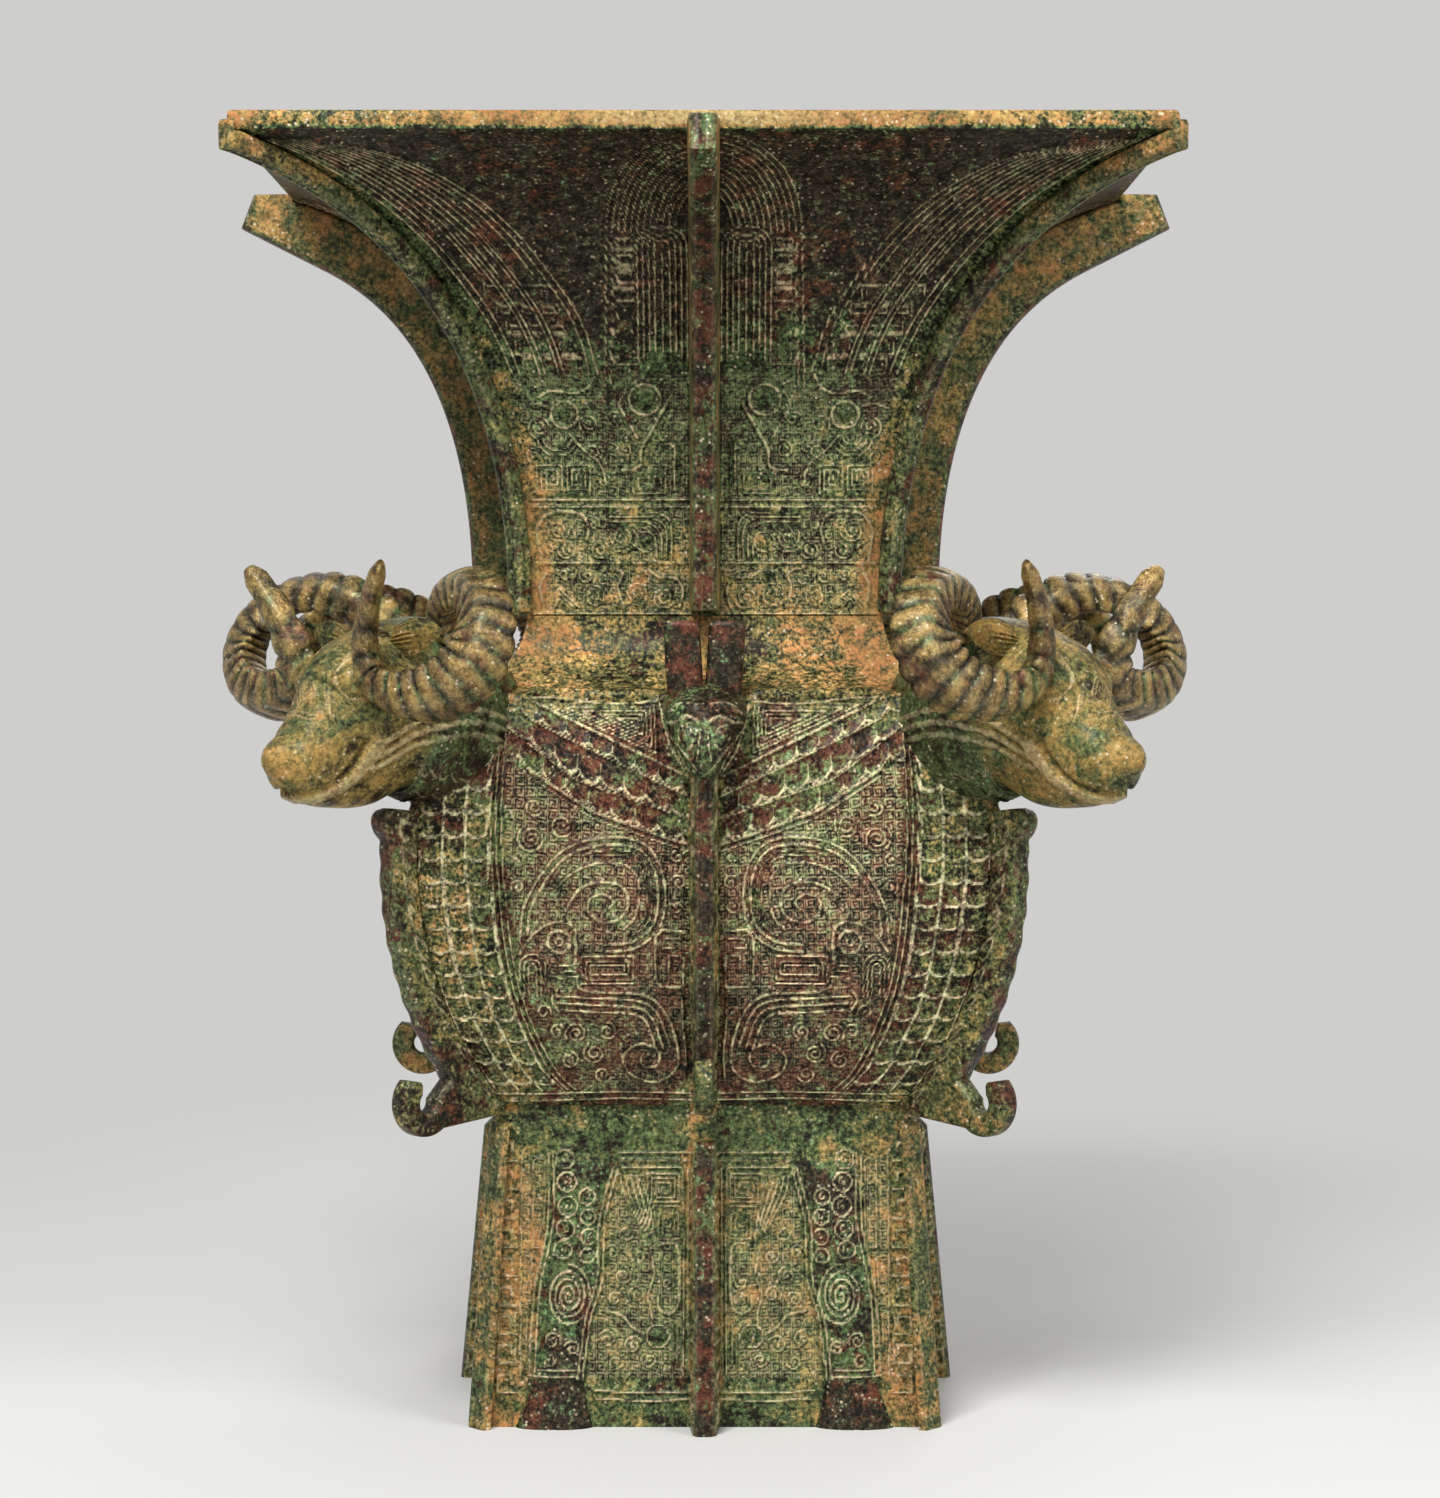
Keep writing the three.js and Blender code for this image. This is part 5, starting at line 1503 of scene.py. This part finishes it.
class VESSEL_OT_ram_heads(bpy.types.Operator):
    """Four rams' heads with their ears."""

    bl_idname = "vessel.ram_heads"
    bl_label = "Ram heads"

    def execute(self, context):
        head = spine_rows(RAM_RINGS + RAM_NOSE, CHEST_RADIUS, RAM_LEVEL)
        middle, up, wide, tall, forward = head
        sides = 144
        angle = circle(sides)[None, :]
        around = RAM_GIRTH * np.minimum(angle, 2 * math.pi - angle)
        fore = np.repeat(forward[:, None], sides, 1)
        raised, mark = draw_ram().at(np.repeat(around, len(wide), 0), fore)[:2]
        raised = raised * ramp(fore, 88, 80)
        rings = head_rings(middle, up, wide, tall, raised, angle)
        limit = chest_at(rings[..., 2]) - np.abs(rings[..., 1]) - HEAD_SEAT
        rings[..., 0] = np.maximum(rings[..., 0], limit)
        marks = {"relief": mark, "dust": 0.12 + 0.2 * ramp(fore, 20, 60)}
        marks["rub"] = np.clip((fore - 6 - 0.6 * np.clip(around - 44, 0, 40)) / 16, 0.1, 1)
        ear_marks = {"relief": 0.3, "dust": 0.3, "rub": 1}
        for corner, degrees in CORNERS.items():
            node = f"ram_head_{corner}"
            skin(f"ram_head_cast_{corner}", turned(rings, degrees), "ram_bronze", node, angle=70, **marks)
            for hand_name, hand in HANDS.items():
                name = f"ram_ear_{hand_name}_{corner}"
                skin(name, turned(self.ear(hand), degrees), "ram_bronze", node, angle=70, **ear_marks)
        return {"FINISHED"}

    def ear(self, hand):
        """A pointed leaf with a hollow front and lines along it."""
        length = np.linspace(0, 1, 34)[:, None]
        leaf = EAR["wide"] * np.sin(math.pi * (0.2 + 0.78 * length)) ** 0.8
        turn = circle(48)[None, :]
        lines = 0.14 * np.cos(7 * math.pi * np.sin(turn))
        cup = np.where(np.cos(turn) > 0, 0.35 - 0.5 * np.sin(turn) ** 2 + lines, 1.0)
        thick = EAR["thick"] * (1.15 - length) * np.cos(turn) * cup
        out = CHEST_RADIUS + EAR["forward"] - EAR["slant"] * length + thick
        side = hand * (EAR["side"] + EAR["length"] * length) * np.ones_like(turn)
        up = RAM_LEVEL + EAR["up"] + EAR["slant"] * length + leaf * np.sin(turn)
        return np.stack((out, side, up), -1)


class VESSEL_OT_ram_horns(bpy.types.Operator):
    """Eight coiled horns with ribs, a ridge and a blunt tip."""

    bl_idname = "vessel.ram_horns"
    bl_label = "Ram horns"

    def execute(self, context):
        shape = context.scene.vessel_shape
        steps, sides = 250, 30
        share = np.linspace(0, 1, steps)
        wide = np.interp(share, *np.array(HORN_WIDE).T)
        blur = 8
        window = np.ones(2 * blur + 1) / (2 * blur + 1)
        wide = np.convolve(np.pad(wide, blur, "edge"), window, "valid")
        wide = wide * np.sqrt(np.clip((1.004 - share) / 0.016, 0.03, 1))
        turn = circle(sides)
        bow = 1.3
        lozenge = 1.1 / (np.abs(np.cos(turn)) ** bow + np.abs(np.sin(turn)) ** bow) ** (1 / bow)
        phase = share[:, None] * shape.horn_ribs - 0.4 * np.abs(np.cos(turn))[None, :]
        block = np.abs(np.sin(math.pi * phase)) ** 0.45
        block = 1 - (1 - block) * ramp(share, 0.985, 0.945)[:, None]
        ridge = np.abs(np.sin(turn))[None, :] ** 12
        depth = shape.horn_rib / MM * np.minimum(wide / 9, 1)[:, None] * (1 - 0.6 * ridge)
        reach = wide[:, None] * lozenge[None, :] - depth * (1 - block)
        # Rib tops and the ridge get pale tops, partly wear and partly painted highlight
        marks = {"relief": block * (1 - ridge) + 1.4 * ridge, "dust": 0.05}
        marks["rub"] = np.clip(2.2 * block - 1.2, 0, 1)
        for hand_name, hand in HANDS.items():
            path, broad, thin = self.coil(share, hand)
            thin = HORN_SECTION["flatness"] * thin
            spokes = broad[:, None, :] * np.cos(turn)[:, None] + thin[:, None, :] * np.sin(turn)[:, None]
            rings = path[:, None, :] + spokes * reach[..., None]
            for corner, degrees in CORNERS.items():
                name = f"ram_horn_cast_{hand_name}_{corner}"
                node = f"ram_horn_{hand_name}_{corner}"
                skin(name, turned(rings, degrees), "horn_bronze", node, angle=75, **marks)
        return {"FINISHED"}

    def coil(self, share, hand):
        """The middle line of a horn, with the directions of its broad and its thin way at each point."""
        angle = 2 * math.pi * HORN["turns"] * share
        late = (np.clip(share - HORN_TIP["from"], 0, 1) / (1 - HORN_TIP["from"])) ** 2
        forward = HORN["forward"] + HORN["advance"] * np.sin(angle / 4) + HORN_TIP["forward"] * late
        side = HORN["side"] - HORN["coil_side"] * np.cos(angle) + HORN_TIP["side"] * late
        up = HORN["up"] + HORN["coil_up"] * np.sin(angle) + HORN_TIP["up"] * late
        path = np.column_stack((CHEST_RADIUS + forward, hand * side, RAM_LEVEL + up))
        along = directions(path)
        out = np.array((1.0, 0, 0)) - along * along[:, :1]
        out = out / np.linalg.norm(out, axis=1)[:, None]
        third = hand * np.cross(along, out)
        c, s = math.cos(HORN_SECTION["twist"]), math.sin(HORN_SECTION["twist"])
        return path, third * c + out * s, out * c - third * s


def draw_dragon():
    """Half of a dragon's face: X runs round it from the top, Y runs down the snout."""
    panel = Relief(*DRAGON_PANEL)
    panel.boss(10.4, 62.6, 3.4, 2.2)
    panel.line(ring(10.4, 62.6, 4.6), 1.3, 0.8, 0.2)
    panel.line(smooth([(2.5, 57.4), (7, 55), (14, 55.6), (20, 53)]), 1.8, 1.4)
    panel.line(smooth([(2.5, 51), (9, 49), (17, 49.6), (22, 47)]), 1.6, 1.2)
    panel.line(smooth([(2.2, 62), (3.4, 68), (6, 72)]), 1.6, 1.1)
    panel.line(smooth([(24, 48), (22, 59), (15, 68), (8, 75)]), 1.7, 1.2)
    return panel


class VESSEL_OT_dragon_heads(bpy.types.Operator):
    """Four small dragons' heads with a pair of upright horns."""

    bl_idname = "vessel.dragon_heads"
    bl_label = "Dragon heads"

    def execute(self, context):
        head = spine_rows(DRAGON_RINGS + DRAGON_NOSE, SHOULDER_HALF, SHOULDER_LEVEL)
        middle, up, wide, tall = head[:4]
        sides = 88
        along = np.repeat(lengths(middle)[:, None], sides, 1)
        angle = circle(sides)[None, :]
        around = DRAGON_GIRTH * np.minimum(angle, 2 * math.pi - angle)
        raised, mark = draw_dragon().at(np.repeat(around, len(wide), 0), along)[:2]
        raised = raised * ramp(along[-1] - along, 0, 8)
        rings = head_rings(middle, up, wide, tall, raised, angle)
        rings[..., 0] = np.maximum(rings[..., 0], half_at(rings[..., 2]) - HEAD_SEAT)
        horn_marks = {"relief": 0.1, "dust": -0.15}
        for side, degrees in FACES.items():
            node = f"dragon_head_{side}"
            name = f"dragon_head_cast_{side}"
            skin(name, turned(rings, degrees), "dragon_bronze", node, angle=70, relief=mark, dust=0.1)
            for hand_name, hand in HANDS.items():
                name = f"dragon_horn_{hand_name}_{side}"
                skin(name, turned(self.horn(hand), degrees), "flange_bronze", node, angle=45, **horn_marks)
        return {"FINISHED"}

    def horn(self, hand):
        """A flat upright horn with round corners, leaning a little outwards."""
        share = np.linspace(0, 1, 30)[:, None]
        turn = circle(36)[None, :]
        square = 1 / (np.abs(np.cos(turn)) ** 5 + np.abs(np.sin(turn)) ** 5) ** (1 / 5)
        top = np.sqrt(np.clip(1 - (np.clip(share - 0.93, 0, 1) / 0.0705) ** 2, 0.1, 1))
        wide = DRAGON_HORN["wide"] / 2 * (0.72 + 0.28 * top)
        thick = DRAGON_HORN["thick"] / 2 * (0.6 + 0.4 * top)
        tall = DRAGON_HORN["tall"] * (1.3 * share - 0.3)
        out = SHOULDER_HALF + DRAGON_HORN["forward"] + thick * square * np.cos(turn)
        side = hand * (DRAGON_HORN["spread"] + DRAGON_HORN["lean"] * tall) + wide * square * np.sin(turn)
        return np.stack((out, side, SHOULDER_LEVEL + DRAGON_HORN["up"] + tall + 0 * turn), -1)


class VESSEL_OT_clay_cores(bpy.types.Operator):
    """Clay left inside the rams' heads."""

    bl_idname = "vessel.clay_cores"
    bl_label = "Clay cores"

    def execute(self, context):
        material, make = blank_material("fired_clay")
        place = make.node("ShaderNodeTexCoord", {}, "Object")
        clouds = make.node("ShaderNodeTexNoise", {"Vector": place, "Scale": 120.0, "Detail": 6.0})
        clay = context.scene.vessel_colours.clay
        colour = clouds.between(0.35, 0.65).mix(rgba(clay, 0.6), rgba(clay))
        shader = make.node("ShaderNodeBsdfPrincipled", {"Base Color": colour, "Roughness": 0.95})
        make.node("ShaderNodeOutputMaterial", {"Surface": shader}, None)
        for corner in CORNERS:
            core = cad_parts[f"ram_core_{corner}"]
            core.data.materials.clear()
            core.data.materials.append(material)
        return {"FINISHED"}


# Studio

# Lamps: where each stands and what it faces, in metres, then its size and its power
LAMPS = {
    "key_light": ((-0.5, -1.4, 1.9), (0, 0, 0.32), 0.9, 50),
    "side_light": ((1.4, -1.2, 1.3), (0, 0, 0.3), 0.9, 16),
    "back_light": ((0.3, 1.6, 1.6), (0, 0, 0.4), 1.2, 14),
}
CAMERA = {"place": (0.007, -1.473, 0.346), "tilt": 1.46, "lens": 75.2, "sensor": 36}


def lamp(scene, name, place, target, size, power):
    light = bpy.data.lights.new(name, "AREA")
    light.size = size
    light.energy = power
    made = bpy.data.objects.new(name, light)
    made.location = place
    made.rotation_euler = (Vector(target) - Vector(place)).to_track_quat("-Z", "Y").to_euler()
    scene.collection.objects.link(made)


class VESSEL_OT_stage(bpy.types.Operator):
    """Pale floor that fades into the backdrop, soft light and the camera."""

    bl_idname = "vessel.stage"
    bl_label = "Stage"

    def execute(self, context):
        scene = context.scene
        self.lay_floor(context)
        self.set_backdrop(scene)
        for name, (place, target, size, power) in LAMPS.items():
            lamp(scene, name, place, target, size, power)
        camera = bpy.data.objects.new("camera", bpy.data.cameras.new("camera"))
        scene.collection.objects.link(camera)
        camera.data.sensor_fit = "HORIZONTAL"
        camera.data.sensor_width = CAMERA["sensor"]
        camera.data.lens = CAMERA["lens"]
        camera.location = CAMERA["place"]
        camera.rotation_euler = (math.radians(90 - CAMERA["tilt"]), 0, 0)
        scene.camera = camera
        scene.view_settings.view_transform = "Standard"
        return {"FINISHED"}

    def lay_floor(self, context):
        colours = context.scene.vessel_colours
        bpy.ops.object.select_all(action="DESELECT")
        bpy.ops.mesh.primitive_plane_add(size=24, location=(0, 0, 0))
        floor = context.object
        floor.name = "floor"
        material, make = blank_material("pale_floor")
        place = make.node("ShaderNodeTexCoord", {}, "Object")
        away = make.node("ShaderNodeVectorMath", {0: place}, "Value", operation="LENGTH")
        away = away.between(0.25, 1.3)
        inputs = {"Base Color": rgba(colours.floor), "Roughness": 0.9}
        near = make.node("ShaderNodeBsdfPrincipled", inputs)
        far = make.node("ShaderNodeEmission", {"Color": rgba(colours.backdrop)})
        shader = make.node("ShaderNodeMixShader", {0: away, 1: near, 2: far})
        make.node("ShaderNodeOutputMaterial", {"Surface": shader}, None)
        floor.data.materials.append(material)

    def set_backdrop(self, scene):
        world = scene.world or bpy.data.worlds.new("studio")
        scene.world = world
        world.use_nodes = True
        tree = world.node_tree
        tree.nodes.clear()
        make = Shade(tree)
        seen = make.node("ShaderNodeLightPath", {}, "Is Camera Ray")
        seen = seen.over(make.node("ShaderNodeLightPath", {}, "Is Glossy Ray"))
        seen = seen.over(make.node("ShaderNodeLightPath", {}, "Is Transmission Ray"))
        soft = make.node("ShaderNodeBackground", {"Color": (0.75, 0.75, 0.76, 1), "Strength": 0.28})
        backdrop = rgba(scene.vessel_colours.backdrop)
        pale = make.node("ShaderNodeBackground", {"Color": backdrop, "Strength": 1.0})
        shader = make.node("ShaderNodeMixShader", {0: seen, 1: soft, 2: pale})
        make.node("ShaderNodeOutputWorld", {"Surface": shader}, None)


OPERATORS = [
    VESSEL_OT_stage,
    VESSEL_OT_neck,
    VESSEL_OT_belly,
    VESSEL_OT_belly_floor,
    VESSEL_OT_foot,
    VESSEL_OT_neck_flanges,
    VESSEL_OT_belly_flanges,
    VESSEL_OT_foot_flanges,
    VESSEL_OT_ram_heads,
    VESSEL_OT_ram_horns,
    VESSEL_OT_dragon_heads,
    VESSEL_OT_clay_cores,
]


class VESSEL_PT_sidebar(bpy.types.Panel):
    """Lists the vessel's pieces, sizes and colours."""

    bl_idname = "VESSEL_PT_sidebar"
    bl_label = "Bronze vessel"
    bl_space_type = "VIEW_3D"
    bl_region_type = "UI"
    bl_category = "Bronze vessel"

    def draw(self, context):
        for group in (context.scene.vessel_shape, context.scene.vessel_colours):
            for key in group.__annotations__:
                self.layout.prop(group, key)
        for made in OPERATORS:
            self.layout.operator(made.bl_idname)


CLASSES = [VesselShape, VesselColours, *OPERATORS, VESSEL_PT_sidebar]


def register():
    for made in CLASSES:
        bpy.utils.register_class(made)
    bpy.types.Scene.vessel_shape = bpy.props.PointerProperty(type=VesselShape)
    bpy.types.Scene.vessel_colours = bpy.props.PointerProperty(type=VesselColours)


def unregister():
    del bpy.types.Scene.vessel_colours
    del bpy.types.Scene.vessel_shape
    for made in reversed(CLASSES):
        bpy.utils.unregister_class(made)


def main():
    register()
    bpy.ops.vessel.stage()
    bpy.ops.vessel.neck()
    bpy.ops.vessel.belly()
    bpy.ops.vessel.belly_floor()
    bpy.ops.vessel.foot()
    bpy.ops.vessel.neck_flanges()
    bpy.ops.vessel.belly_flanges()
    bpy.ops.vessel.foot_flanges()
    bpy.ops.vessel.ram_heads()
    bpy.ops.vessel.ram_horns()
    bpy.ops.vessel.dragon_heads()
    bpy.ops.vessel.clay_cores()


if __name__ == "__main__":
    main()
